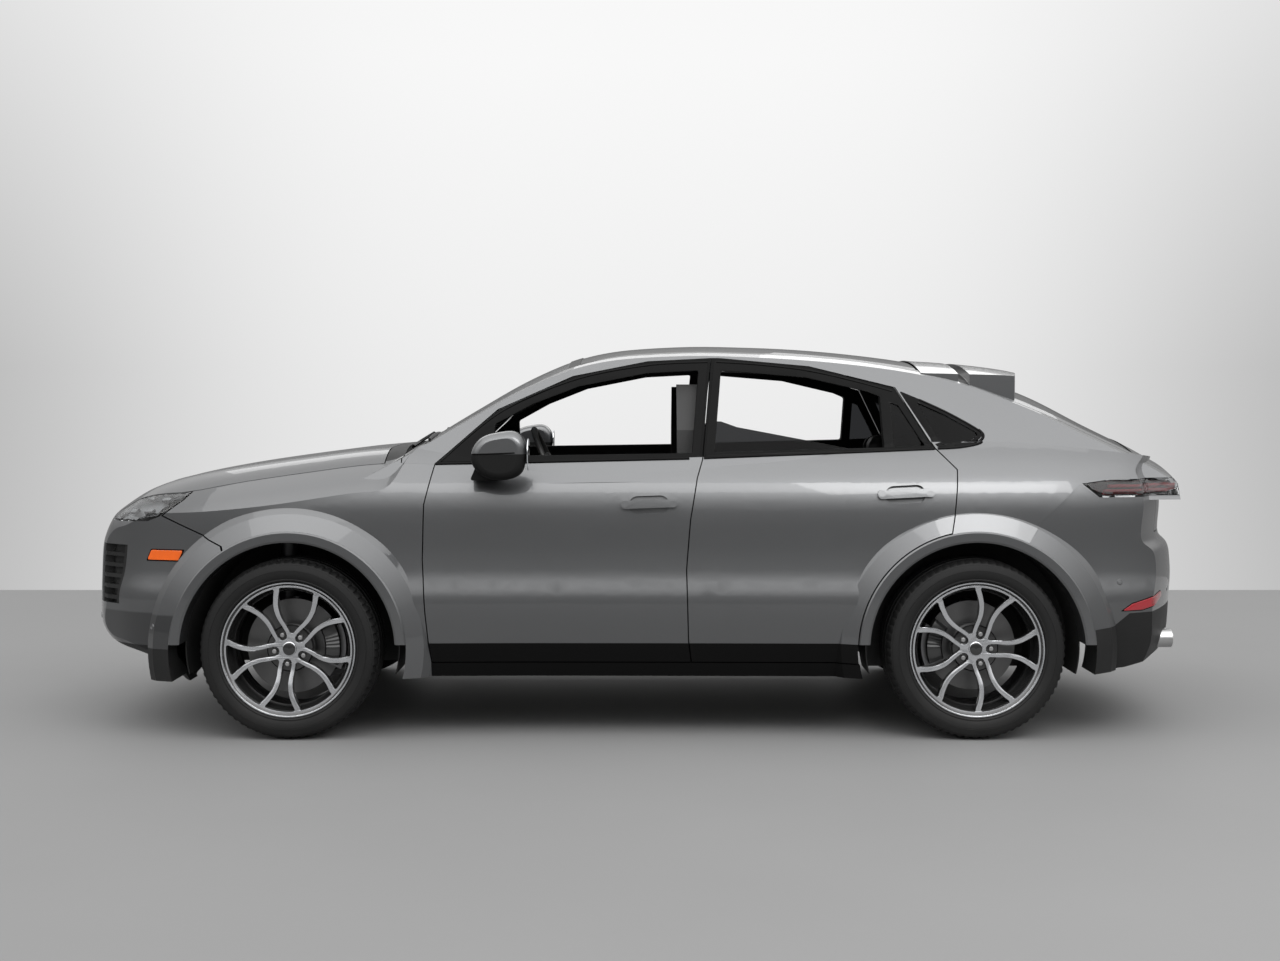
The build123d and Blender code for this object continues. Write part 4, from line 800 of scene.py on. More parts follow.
def faces_of(node, test):
    """Points and faces of the polygons of a frame node that pass a test of centre and normal."""
    obj = frame["nodes"][node]
    matrix = obj.matrix_world
    points = [matrix @ vert.co for vert in obj.data.vertices]
    keep = [f for f in obj.data.polygons if test(matrix @ f.center, matrix.to_3x3() @ f.normal)]
    used = sorted({i for f in keep for i in f.vertices})
    index = {old: new for new, old in enumerate(used)}
    return [points[i] for i in used], [[index[i] for i in f.vertices] for f in keep]


def shell_from(name, points, faces, depth, thick, body, finish, smooth=40.0, rim=True):
    """A skin of the given thickness laid a depth behind the faces, closed round its rim."""
    bm = bmesh.new()
    verts = [bm.verts.new(p) for p in points]
    for face in faces:
        bm.faces.new([verts[i] for i in face])
    bmesh.ops.remove_doubles(bm, verts=bm.verts, dist=0.0002)
    bm.normal_update()
    normals = {vert: vert.normal.copy() for vert in bm.verts}
    for vert in bm.verts:
        vert.co -= normals[vert] * depth
    mesh = bpy.data.meshes.new(name)
    bm.to_mesh(mesh)
    bm.free()
    mesh.materials.append(materials[finish])
    obj = add_object(name, mesh, body, smooth)
    if thick:
        solid = obj.modifiers.new("thickness", "SOLIDIFY")
        solid.thickness = thick
        solid.offset = -1
        solid.use_rim = rim
    return obj


def rounded_block(centre, size, bevel, turn=None, segments=3):
    """Points and faces of a box with rounded edges, turned by a matrix about its centre."""
    bm = bmesh.new()
    bmesh.ops.create_cube(bm, size=1.0)
    for vert in bm.verts:
        vert.co = Vector(vert.co[i] * size[i] for i in range(3))
    bmesh.ops.bevel(bm, geom=bm.edges[:], offset=bevel, segments=segments, profile=0.5, affect="EDGES")
    points = [Vector(centre) + (turn @ vert.co if turn else vert.co) for vert in bm.verts]
    bm.verts.index_update()
    faces = [[vert.index for vert in face.verts] for face in bm.faces]
    bm.free()
    return points, faces


def frame_at(place, normal, up=Vector((0, 0, 1))):
    """A matrix whose Z is the normal and whose Y leans to up."""
    z = normal.normalized()
    x = up.cross(z).normalized()
    y = z.cross(x)
    return Matrix((x, y, z)).transposed()


# ---- lamps --------------------------------------------------------------------------------
def make_headlamps():
    """Clear lens, silver bowl, dark wall and four light modules behind each lens."""
    parts = []
    for hand_name, hand in HANDS:
        outward = Vector((-0.62, 0.52 * hand, 0.58)).normalized()

        def outer(centre, normal, hand=hand, outward=outward):
            return centre.y * hand > 0 and normal.dot(outward) > 0.42

        points, faces = faces_of("headlamps", outer)
        for part, sunk, thick, finish in (("lens", 0.0003, 0.0025, "clear_cover"),
                                          ("bowl", 0.030, 0.002, "lamp_silver")):
            parts.append(shell_from(f"headlamp_{part}_{hand_name}", points, faces, sunk, thick, "body",
                                    finish))
        tree = BVHTree.FromPolygons(points, faces)
        edge = rim_loop(points, faces)
        wall_points = []
        for place, normal in edge:
            wall_points += [place - normal * 0.0030, place - normal * 0.031]
        wall = add_mesh(f"headlamp_wall_{hand_name}", wall_points, grid_faces(len(edge), 2, True, False),
                        ["gloss_black"], "body", "lamp_glass")
        solid = wall.modifiers.new("thickness", "SOLIDIFY")
        solid.thickness = 0.002
        solid.offset = 0
        parts.append(wall)
        modules, glow = [], []
        for x, z in ((-2.205, 0.960), (-2.120, 0.966), (-2.138, 1.012), (-2.058, 1.012)):
            place, normal, _, _ = tree.ray_cast(Vector((x, 2 * hand, z)), Vector((0, -hand, 0)))
            if place is None:
                continue
            turn = frame_at(place, normal)
            modules.append(rounded_block(place - normal * 0.020, (0.050, 0.026, 0.014), 0.005, turn))
            glow.append(rounded_block(place - normal * 0.0125, (0.040, 0.018, 0.004), 0.0018, turn))
        if modules:
            for part, blocks, finish in (("modules", modules, "gloss_black"),
                                         ("lenses", glow, "lamp_crystal")):
                parts.append(add_mesh(f"headlamp_{part}_{hand_name}", *merge(blocks), [finish], "body",
                                      "lamp_glass", 30))
    for part in parts:
        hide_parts("headlamps")


def rim_loop(points, faces):
    """The open edge of a patch as an ordered loop of places and normals."""
    bm = bmesh.new()
    verts = [bm.verts.new(p) for p in points]
    for face in faces:
        bm.faces.new([verts[i] for i in face])
    bmesh.ops.remove_doubles(bm, verts=bm.verts, dist=0.0002)
    bm.normal_update()
    open_edges = {e for e in bm.edges if e.is_boundary}
    best = []
    while open_edges:
        edge = open_edges.pop()
        loop = [edge.verts[0], edge.verts[1]]
        while True:
            following = [e for e in loop[-1].link_edges if e in open_edges]
            if not following:
                break
            open_edges.discard(following[0])
            loop.append(following[0].other_vert(loop[-1]))
            if loop[-1] is loop[0]:
                loop.pop()
                break
        if len(loop) > len(best):
            best = loop
    result = [(v.co.copy(), v.normal.copy()) for v in best]
    bm.free()
    return result


def make_tail_lamps():
    """Clear lens, smoked bowl, dark wall and two red light guides for each tail lamp."""
    parts = []
    for hand_name, hand in HANDS:
        outward = Vector((0.62, 0.75 * hand, 0.0)).normalized()

        def outer(centre, normal, hand=hand, outward=outward):
            return centre.y * hand > 0 and normal.dot(outward) > 0.5

        points, faces = faces_of("tail_lamps", outer)
        for part, sunk, thick, finish in (("lens", 0.0003, 0.0025, "clear_cover"),
                                          ("bowl", 0.026, 0.002, "smoked_lens")):
            parts.append(shell_from(f"tail_lamp_{part}_{hand_name}", points, faces, sunk, thick, "body",
                                    finish))
        edge = rim_loop(points, faces)
        wall_points = []
        for place, normal in edge:
            wall_points += [place - normal * 0.0030, place - normal * 0.027]
        wall = add_mesh(f"tail_lamp_wall_{hand_name}", wall_points, grid_faces(len(edge), 2, True, False),
                        ["gloss_black"], "body", "lamp_glass")
        solid = wall.modifiers.new("thickness", "SOLIDIFY")
        solid.thickness = 0.009
        solid.offset = 0
        parts.append(wall)
        tree = BVHTree.FromPolygons(points, faces)
        guide_tall = 0.013
        guide_section = ((-0.5, 0.010), (-0.35, 0.0065), (0.35, 0.0065), (0.5, 0.010), (0.5, 0.022),
                         (-0.5, 0.022))
        for part, z, start in (("upper_guide", 1.068, 1.985), ("lower_guide", 1.048, 1.965)):
            rows = []
            for k in range(40):
                x = start + (2.318 - start) * k / 39
                place, normal, _, _ = tree.ray_cast(Vector((x, 2 * hand, z)), Vector((0, -hand, 0)))
                if place is not None:
                    rows.append((place, normal))
            points2 = []
            for place, normal in rows:
                for a, b in guide_section:
                    points2.append(place - normal * b + Vector((0, 0, a * guide_tall)))
            faces2 = grid_faces(len(rows), 6, False, True)
            faces2 += [tuple(range(6)), tuple(range(len(points2) - 6, len(points2)))]
            guide = add_mesh(f"tail_lamp_{part}_{hand_name}", points2, faces2, ["red_lens"], "body",
                             "lamp_glass", 40)
            fix_normals(guide)
            parts.append(guide)
    for part in parts:
        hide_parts("tail_lamps")


# ---- trims --------------------------------------------------------------------------------
BELT = [(-0.883, 1.1585), (-0.60, 1.163), (-0.20, 1.172), (0.20, 1.181)]
BELT_REAR = [(0.262, 1.183), (0.60, 1.196), (0.95, 1.209), (1.250, 1.2215)]
BELT_TAIL = [(1.266, 1.2225), (1.36, 1.228), (1.44, 1.242), (1.474, 1.262), (1.480, 1.282), (1.462, 1.302)]
RAIL_FRONT = [(-0.870, 1.163), (-0.618, 1.377), (-0.300, 1.519), (0.026, 1.584), (0.288, 1.598)]
RAIL_REAR = [(0.326, 1.599), (0.52, 1.586), (0.731, 1.560), (0.93, 1.515), (1.096, 1.469)]
RAIL_TAIL = [(1.212, 1.432), (1.330, 1.376), (1.452, 1.306), (1.472, 1.280), (1.430, 1.246)]


FRONT_FRAME = [(-0.868, 1.1665), (-0.622, 1.379), (-0.302, 1.523), (0.024, 1.588), (0.288, 1.6025),
               (0.245, 1.188), (0.0, 1.180)]
FRONT_PANE = [(-0.641, 1.189), (-0.641, 1.326), (-0.481, 1.413), (-0.281, 1.491), (0.020, 1.550),
              (0.248, 1.562), (0.214, 1.201)]
REAR_FRAME = [(0.268, 1.190), (0.317, 1.603), (0.342, 1.603), (0.732, 1.5665), (1.102, 1.4745),
              (1.238, 1.2255), (0.75, 1.208)]
REAR_PANE = [(0.307, 1.205), (0.345, 1.562), (0.720, 1.531), (0.986, 1.469), (1.041, 1.446), (1.041, 1.225)]
CORNER_PANE = [(1.081, 1.227), (1.081, 1.421), (1.116, 1.409), (1.216, 1.233)]
TAIL_FRAME = [(1.266, 1.229), (1.128, 1.470), (1.212, 1.434), (1.332, 1.378), (1.456, 1.308),
              (1.477, 1.280), (1.434, 1.243), (1.352, 1.232)]
TAIL_PANE = [(1.289, 1.237), (1.199, 1.421), (1.326, 1.364), (1.446, 1.296), (1.459, 1.278),
             (1.426, 1.255), (1.350, 1.245)]


def make_trims():
    for hand_name, hand in HANDS:
        front = skin(f"front_door_{hand_name}")
        rear = skin(f"rear_door_{hand_name}")
        quarter = skin(f"side_frame_{hand_name}")
        for part, tree, outline, holes, body in (
            ("front_window", front, FRONT_FRAME, [FRONT_PANE], f"front_door_{hand_name}"),
            ("rear_window", rear, REAR_FRAME, [REAR_PANE, CORNER_PANE], f"rear_door_{hand_name}"),
            ("quarter_window", quarter, TAIL_FRAME, [TAIL_PANE], "body"),
        ):
            patch(f"{part}_frame_{hand_name}", tree, hand_name, outline, body, "gloss_black", thick=0.003,
                  lift=0.0014,
                  step=0.035, holes=holes, corner=0.012)
        for part, tree, path, body in (
            ("front_belt", front, BELT, f"front_door_{hand_name}"),
            ("rear_belt", rear, BELT_REAR, f"rear_door_{hand_name}"),
            ("quarter_belt", quarter, BELT_TAIL, "body"),
        ):
            moulding(f"{part}_moulding_{hand_name}", tree, hand_name, path, body, "gloss_black",
                     width=0.0125, height=0.0055)
        for part, tree, path, body in (
            ("front_rail", front, RAIL_FRONT, f"front_door_{hand_name}"),
            ("rear_rail", rear, RAIL_REAR, f"rear_door_{hand_name}"),
            ("quarter_rail", quarter, RAIL_TAIL, "body"),
        ):
            moulding(f"{part}_moulding_{hand_name}", tree, hand_name, path, body, "gloss_black",
                     width=0.010, height=0.0045)
        bumper = skin("front_bumper")
        marker = mm([(-2108, 752), (-2092, 790), (-1952, 790), (-1968, 752)])
        patch(f"side_marker_bezel_{hand_name}", bumper, hand_name, grown(marker, 0.006), "body",
              "gloss_black",
              thick=0.003, lift=0.0012, step=0.02)
        patch(f"side_marker_{hand_name}", bumper, hand_name, marker, "body", "amber_lens", thick=0.006,
              lift=0.0042, bevel=0.0018, step=0.02)
        tail = skin("rear_bumper", "rear_diffuser")
        reflector = mm([(2034, 541), (2075, 566), (2232, 606), (2240, 588), (2196, 562), (2120, 543)])
        patch(f"rear_reflector_bezel_{hand_name}", tail, hand_name, grown(reflector, 0.005), "body",
              "gloss_black",
              thick=0.003, lift=0.0012, step=0.02)
        patch(f"rear_reflector_{hand_name}", tail, hand_name, reflector, "body", "reflector_red", thick=0.006,
              lift=0.0040, bevel=0.0018, step=0.02)
        for part, tree, view, spots, finish in (
            ("front_sensor", bumper, hand_name, [(-2.066, 0.475)], "paint"),
            ("rear_sensor", tail, hand_name, [(2.02, 0.66)], "paint"),
            ("nose_sensor", bumper, "nose", [(hand * 0.30, 0.50), (hand * 0.62, 0.485)], "paint"),
            ("tail_sensor", tail, "tail", [(hand * 0.26, 0.60), (hand * 0.60, 0.60)], "paint"),
        ):
            for k, (a, b) in enumerate(spots):
                place, normal = find(tree, view, a, b)
                parts = sensor(place, normal)
                add_mesh(f"{part}_{k}_{hand_name}", *parts, [finish], "body", None, 30)


def grown(outline, amount):
    """An outline drawn outwards from its middle by about an amount."""
    middle = Vector((sum(p[0] for p in outline) / len(outline), sum(p[1] for p in outline) / len(outline)))
    out = []
    for i, point in enumerate(outline):
        before, here, after = Vector(outline[i - 1]), Vector(point), Vector(outline[(i + 1) % len(outline)])
        first, second = (here - before).normalized(), (after - here).normalized()
        side_a, side_b = Vector((first.y, -first.x)), Vector((second.y, -second.x))
        if side_a.dot(here - middle) < 0:
            side_a, side_b = -side_a, -side_b
        away = (side_a + side_b).normalized()
        out.append(tuple(here + away * amount / max(0.4, away.dot(side_a))))
    return out


def sensor(place, normal):
    """A round parking sensor set flush in its ring."""
    turn = frame_at(place, normal)
    profile = [(0.0002, 0.0012), (0.0085, 0.0010), (0.0092, 0.0002), (0.0096, 0.0002), (0.0102, 0.0016),
               (0.0120, 0.0014), (0.0128, 0.0), (0.0128, -0.003), (0.0002, -0.003)]
    points = []
    for i in range(32):
        angle = 2 * pi * i / 32
        for r, h in profile:
            points.append(place + turn @ Vector((r * cos(angle), r * sin(angle), h)))
    return points, grid_faces(32, len(profile), True, True)


def make_mirrors():
    """Mirror glass and a gap line between cap and foot."""
    for hand_name, hand in HANDS:
        node = f"door_mirror_{hand_name}"
        low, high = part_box(node)
        tree = skin(node)
        body = f"front_door_{hand_name}"
        outline = []
        for k in range(40):
            angle = 2 * pi * k / 40
            outline.append((hand * (1.030 + 0.058 * cos(angle) * (1 + 0.12 * sin(angle))),
                            1.204 + 0.066 * sin(angle)))
        mesh = flat_cut(outline, [], 0.004, 0.0008)
        bm = bmesh.new()
        bm.from_mesh(mesh)
        for vert in bm.verts:
            vert.co = Vector((high.x + 0.0005 + vert.co.z + 0.004, vert.co.x, vert.co.y))
        bmesh.ops.recalc_face_normals(bm, faces=bm.faces)
        bm.to_mesh(mesh)
        bm.free()
        mesh.materials.append(materials["mirror_glass"])
        add_object(f"mirror_glass_{hand_name}", mesh, body)
        path = [(-0.706, 1.206), (-0.66, 1.207), (-0.60, 1.209), (-0.55, 1.211), (-0.528, 1.212)]
        moulding(f"mirror_seam_{hand_name}", tree, hand_name, path, body, "gloss_black", width=0.006,
                 height=0.002)


def make_wipers():
    """Two wiper arms and blades that lie along the foot of the windshield."""
    tree = skin("windshield", "firewall_cowl")
    for k, (start, end, root) in enumerate((
        ((-0.930, -0.66), (-0.955, -0.05), (-1.005, -0.60)), ((-0.925, 0.02), (-0.905, 0.56), (-1.010, 0.06)),
    )):
        blade = [(start[0] + (end[0] - start[0]) * t / 7,
                  start[1] + (end[1] - start[1]) * t / 7) for t in range(8)]
        moulding(f"wiper_blade_{k}", tree, "top", blade, "body", "black_trim", width=0.014, height=0.014,
                 sunk=-0.002, count=24)
        middle = ((start[0] + end[0]) / 2, (start[1] + end[1]) / 2)
        arm = [root, (root[0] + 0.02, root[1] * 0.6 + middle[1] * 0.4), middle]
        moulding(f"wiper_arm_{k}", tree, "top", arm, "body", "gloss_black", width=0.018, height=0.022,
                 sunk=-0.013, count=24)


# ---- cabin --------------------------------------------------------------------------------
def pad_section(half, thick, bolster, channel):
    """A seat pad's section from one side over the top to the other, then back along its base."""
    side = [
        (1.0, 0.30), (0.985, 0.72), (0.90, 1.0), (0.80, 1.04), (0.71, 0.90), (0.655, 0.72), (0.62, 0.66),
        (0.59, 0.80), (0.52, 0.90), (0.30, 0.97), (0.12, 0.99),
    ]
    rise = [0.10, 0.6, 1.0, 0.95, 0.5, 0.1, 0, 0, 0, 0, 0]
    top = []
    for (u, v), lift in zip(side, rise):
        deep = channel if u < 0.6 else 0.0
        top.append((-u * half, v * thick + lift * bolster - deep))
    ring = top + [(-u, v) for u, v in reversed(top)]
    return ring + [(0.94 * half, 0.04 * thick), (0.5 * half, 0.0), (-0.5 * half, 0.0),
                   (-0.94 * half, 0.04 * thick)]


def make_pad(name, spine, middle_y, body, finish="hide", ribs=()):
    """A padded form swept along a spine of (x, z, half width, thickness, bolster) stations."""
    stations = []
    for i, station in enumerate(spine):
        stations.append((*station, 0.0))
        if i in ribs:
            following = spine[i + 1]
            for t, deep in ((0.38, 0.0), (0.5, 0.007), (0.62, 0.0)):
                stations.append(tuple(a + (b - a) * t for a, b in zip(station, following)) + (deep,))
    points = []
    for i, (x, z, half, thick, bolster, channel) in enumerate(stations):
        before, after = stations[max(0, i - 1)], stations[min(len(stations) - 1, i + 1)]
        along = Vector((after[0] - before[0], 0, after[1] - before[1])).normalized()
        out = Vector((-along.z, 0, along.x))
        if out.z < 0 and abs(along.x) > 0.7 or out.x > 0 and abs(along.z) > 0.7:
            out = -out
        for u, v in pad_section(half, thick, bolster, channel):
            points.append(Vector((x, middle_y + u, z)) + out * v)
    size = len(pad_section(1, 1, 0, 0))
    faces = grid_faces(len(stations), size, False, True)
    for base, order in ((0, 1), (len(points) - size, -1)):
        ring = points[base:base + size]
        middle = sum(ring, Vector()) / size
        points.append(middle)
        faces += [tuple((base + j, base + (j + 1) % size, len(points) - 1)[::order]) for j in range(size)]
    obj = add_mesh(name, points, faces, [finish], body, "seat_leather", 180)
    fix_normals(obj)
    smooth = obj.modifiers.new("smooth", "SUBSURF")
    smooth.levels = smooth.render_levels = 2
    return obj


def make_seats():
    body = body_of_node["front_seats"]
    front, rear = [], []
    for hand_name, hand in HANDS:
        y = hand * 0.380
        cushion = [
            (-0.402, 0.475, 0.205, 0.050, 0.004), (-0.395, 0.490, 0.222, 0.085, 0.008),
            (-0.340, 0.492, 0.236, 0.096, 0.018),
            (-0.250, 0.480, 0.244, 0.098, 0.030), (-0.140, 0.468, 0.246, 0.098, 0.036),
            (-0.030, 0.460, 0.244, 0.098, 0.034),
            (0.060, 0.458, 0.234, 0.094, 0.020), (0.100, 0.458, 0.215, 0.060, 0.004),
        ]
        front.append(make_pad(f"front_cushion_{hand_name}", cushion, y, body, ribs=(2, 3, 4)))
        back = [
            (0.148, 0.530, 0.205, 0.060, 0.006), (0.160, 0.570, 0.232, 0.100, 0.020),
            (0.190, 0.680, 0.245, 0.112, 0.040),
            (0.222, 0.800, 0.246, 0.112, 0.044), (0.252, 0.920, 0.236, 0.104, 0.034),
            (0.280, 1.030, 0.205, 0.088, 0.016),
            (0.302, 1.110, 0.160, 0.072, 0.006), (0.310, 1.142, 0.120, 0.040, 0.0),
        ]
        front.append(make_pad(f"front_back_{hand_name}", back, y, body, ribs=(1, 2, 3, 4)))
        rest = [
            (0.300, 1.160, 0.075, 0.030, 0.0), (0.312, 1.172, 0.112, 0.066, 0.0),
            (0.322, 1.222, 0.130, 0.082, 0.004),
            (0.330, 1.272, 0.124, 0.074, 0.004), (0.334, 1.306, 0.100, 0.050, 0.0),
            (0.334, 1.316, 0.060, 0.026, 0.0),
        ]
        front.append(make_pad(f"front_headrest_{hand_name}", rest, y, body))
        shells = [
            rounded_block((0.252, y, 0.820), (0.040, 0.440, 0.560), 0.018,
                          Matrix.Rotation(radians(14.5), 3, "Y")),
            rounded_block((-0.125, y, 0.405), (0.400, 0.420, 0.090), 0.020),
            rounded_block((-0.120, y - 0.215, 0.345), (0.440, 0.030, 0.048), 0.008),
            rounded_block((-0.120, y + 0.215, 0.345), (0.440, 0.030, 0.048), 0.008),
            rounded_block((-0.060, y - 0.234, 0.440), (0.340, 0.016, 0.070), 0.007),
            rounded_block((-0.060, y + 0.234, 0.440), (0.340, 0.016, 0.070), 0.007),
        ]
        front.append(add_mesh(f"front_seat_shell_{hand_name}", *merge(shells), ["cabin_plastic"], body,
                              "cabin_plastic"))
        posts = []
        for shift in (-0.05, 0.05):
            posts.append(rounded_block((0.300, y + shift, 1.150), (0.011, 0.011, 0.070), 0.004))
        front.append(add_mesh(f"headrest_posts_{hand_name}", *merge(posts), ["bright_metal"], body, None))
    for name, y, half in (("left", -0.360, 0.235), ("right", 0.360, 0.235), ("middle", 0.0, 0.118)):
        flat = 0.4 if name == "middle" else 1.0
        cushion = [
            (0.705, 0.560, half * 0.90, 0.040, 0.0), (0.712, 0.572, half * 0.97, 0.080, 0.006),
            (0.770, 0.575, half, 0.094, 0.016 * flat),
            (0.880, 0.562, half, 0.094, 0.024 * flat), (0.980, 0.556, half, 0.092, 0.022 * flat),
            (1.060, 0.556, half * 0.97, 0.080, 0.008),
        ]
        rear.append(make_pad(f"rear_cushion_{name}", cushion, y, body, ribs=(2, 3)))
        back = [
            (1.112, 0.600, half * 0.90, 0.060, 0.004), (1.124, 0.640, half * 0.98, 0.096, 0.014 * flat),
            (1.150, 0.760, half, 0.104, 0.028 * flat), (1.180, 0.890, half, 0.100, 0.030 * flat),
            (1.206, 1.010, half * 0.97, 0.090, 0.016 * flat), (1.228, 1.090, half * 0.86, 0.072, 0.0),
            (1.234, 1.120, half * 0.66, 0.040, 0.0),
        ]
        rear.append(make_pad(f"rear_back_{name}", back, y, body, ribs=(1, 2, 3)))
        if name != "middle":
            rest = [
                (1.082, 1.128, 0.070, 0.034, 0.0), (1.084, 1.140, 0.106, 0.070, 0.0),
                (1.082, 1.190, 0.122, 0.084, 0.004),
                (1.076, 1.236, 0.116, 0.076, 0.004), (1.070, 1.262, 0.088, 0.046, 0.0),
            ]
            rear.append(make_pad(f"rear_headrest_{name}", [(x + 0.120, z, *more) for x, z, *more in rest],
                                 y, body))
    base = [
        rounded_block((0.900, 0, 0.475), (0.330, 1.180, 0.200), 0.030),
        rounded_block((1.205, 0, 0.830), (0.050, 1.190, 0.560), 0.020,
                      Matrix.Rotation(radians(12.5), 3, "Y")),
    ]
    rear.append(add_mesh("rear_seat_shell", *merge(base), ["cabin_plastic"], body, "cabin_plastic"))
    for part in front:
        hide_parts("front_seats")
    for part in rear:
        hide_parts("rear_seat")


def swept(name, path, section, body, finish, slot=None, closed=False, up=Vector((0, 0, 1)), smooth=40):
    """A section of (across, out) points carried along a path of 3D places."""
    points = []
    last = len(path) - 1
    for i, place in enumerate(path):
        if closed:
            along = (path[(i + 1) % len(path)] - path[i - 1]).normalized()
        else:
            along = (path[min(last, i + 1)] - path[max(0, i - 1)]).normalized()
        side = along.cross(up).normalized()
        out = side.cross(along)
        points += [place + side * a + out * b for a, b in section]
    size = len(section)
    faces = grid_faces(len(path), size, closed, True)
    if not closed:
        faces += [tuple(range(size)), tuple(range(len(points) - size, len(points)))[::-1]]
    obj = add_mesh(name, points, faces, [finish], body, slot, smooth)
    fix_normals(obj)
    return obj


def make_steering_wheel():
    """A padded rim, three spokes with keys, a plain hub pad and a shrouded column."""
    body = body_of_node["steering_wheel"]
    centre = Vector((-0.426, -0.380, 1.140))
    tilt = radians(23)
    axis = Vector((cos(tilt), 0, sin(tilt)))
    across = Vector((0, 1, 0))
    up = axis.cross(across) * -1
    if up.z < 0:
        up = -up
    rim = []
    for i in range(96):
        angle = 2 * pi * i / 96
        grip = 0.0016 * (cos(2 * (angle - radians(20))) ** 8 + cos(2 * (angle + radians(20))) ** 8)
        middle = centre + (across * cos(angle) + up * sin(angle)) * 0.169
        out = (across * cos(angle) + up * sin(angle))
        rim.append([middle + out * (0.0148 + grip) * cos(t) + axis * (0.0125 + grip) * sin(t)
                    for t in [2 * pi * k / 14 for k in range(14)]])
    parts = [add_mesh("steering_rim", [p for row in rim for p in row], grid_faces(96, 14, True, True),
                      ["hide"], body,
                      "seat_leather", 60)]
    fix_normals(parts[0])
    turn = Matrix((across, up, axis)).transposed()
    spokes, keys = [], []
    for angle, length, wide in ((0, 0.100, 0.034), (180, 0.100, 0.034), (270, 0.085, 0.046)):
        way = across * cos(radians(angle)) + up * sin(radians(angle))
        here = Matrix((way, axis.cross(way), axis)).transposed()
        spokes.append(rounded_block(centre + way * (0.060 + length / 2) - axis * 0.004,
                                    (length, wide, 0.016), 0.006, here))
        if angle != 270:
            keys.append(rounded_block(centre + way * 0.098 + axis * 0.0055, (0.040, 0.026, 0.007), 0.003,
                                      here))
    hub = rounded_block(centre + axis * 0.006, (0.128, 0.104, 0.034), 0.015, turn, 5)
    parts.append(add_mesh("steering_spokes", *merge(spokes), ["satin_steel"], body, None))
    parts.append(add_mesh("steering_keys", *merge(keys), ["gloss_black"], body, None))
    parts.append(add_mesh("steering_hub", *hub, ["hide"], body, "seat_leather", 60))
    column = [rounded_block(centre - axis * 0.115, (0.092, 0.080, 0.130), 0.024, turn, 4)]
    for hand in (-1, 1):
        column.append(rounded_block(centre - axis * 0.070 + across * hand * 0.085 + up * 0.012,
                                    (0.110, 0.017, 0.014), 0.006, turn))
    parts.append(add_mesh("steering_column", *merge(column), ["cabin_plastic"], body, "cabin_plastic"))
    for part in parts:
        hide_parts("steering_wheel")


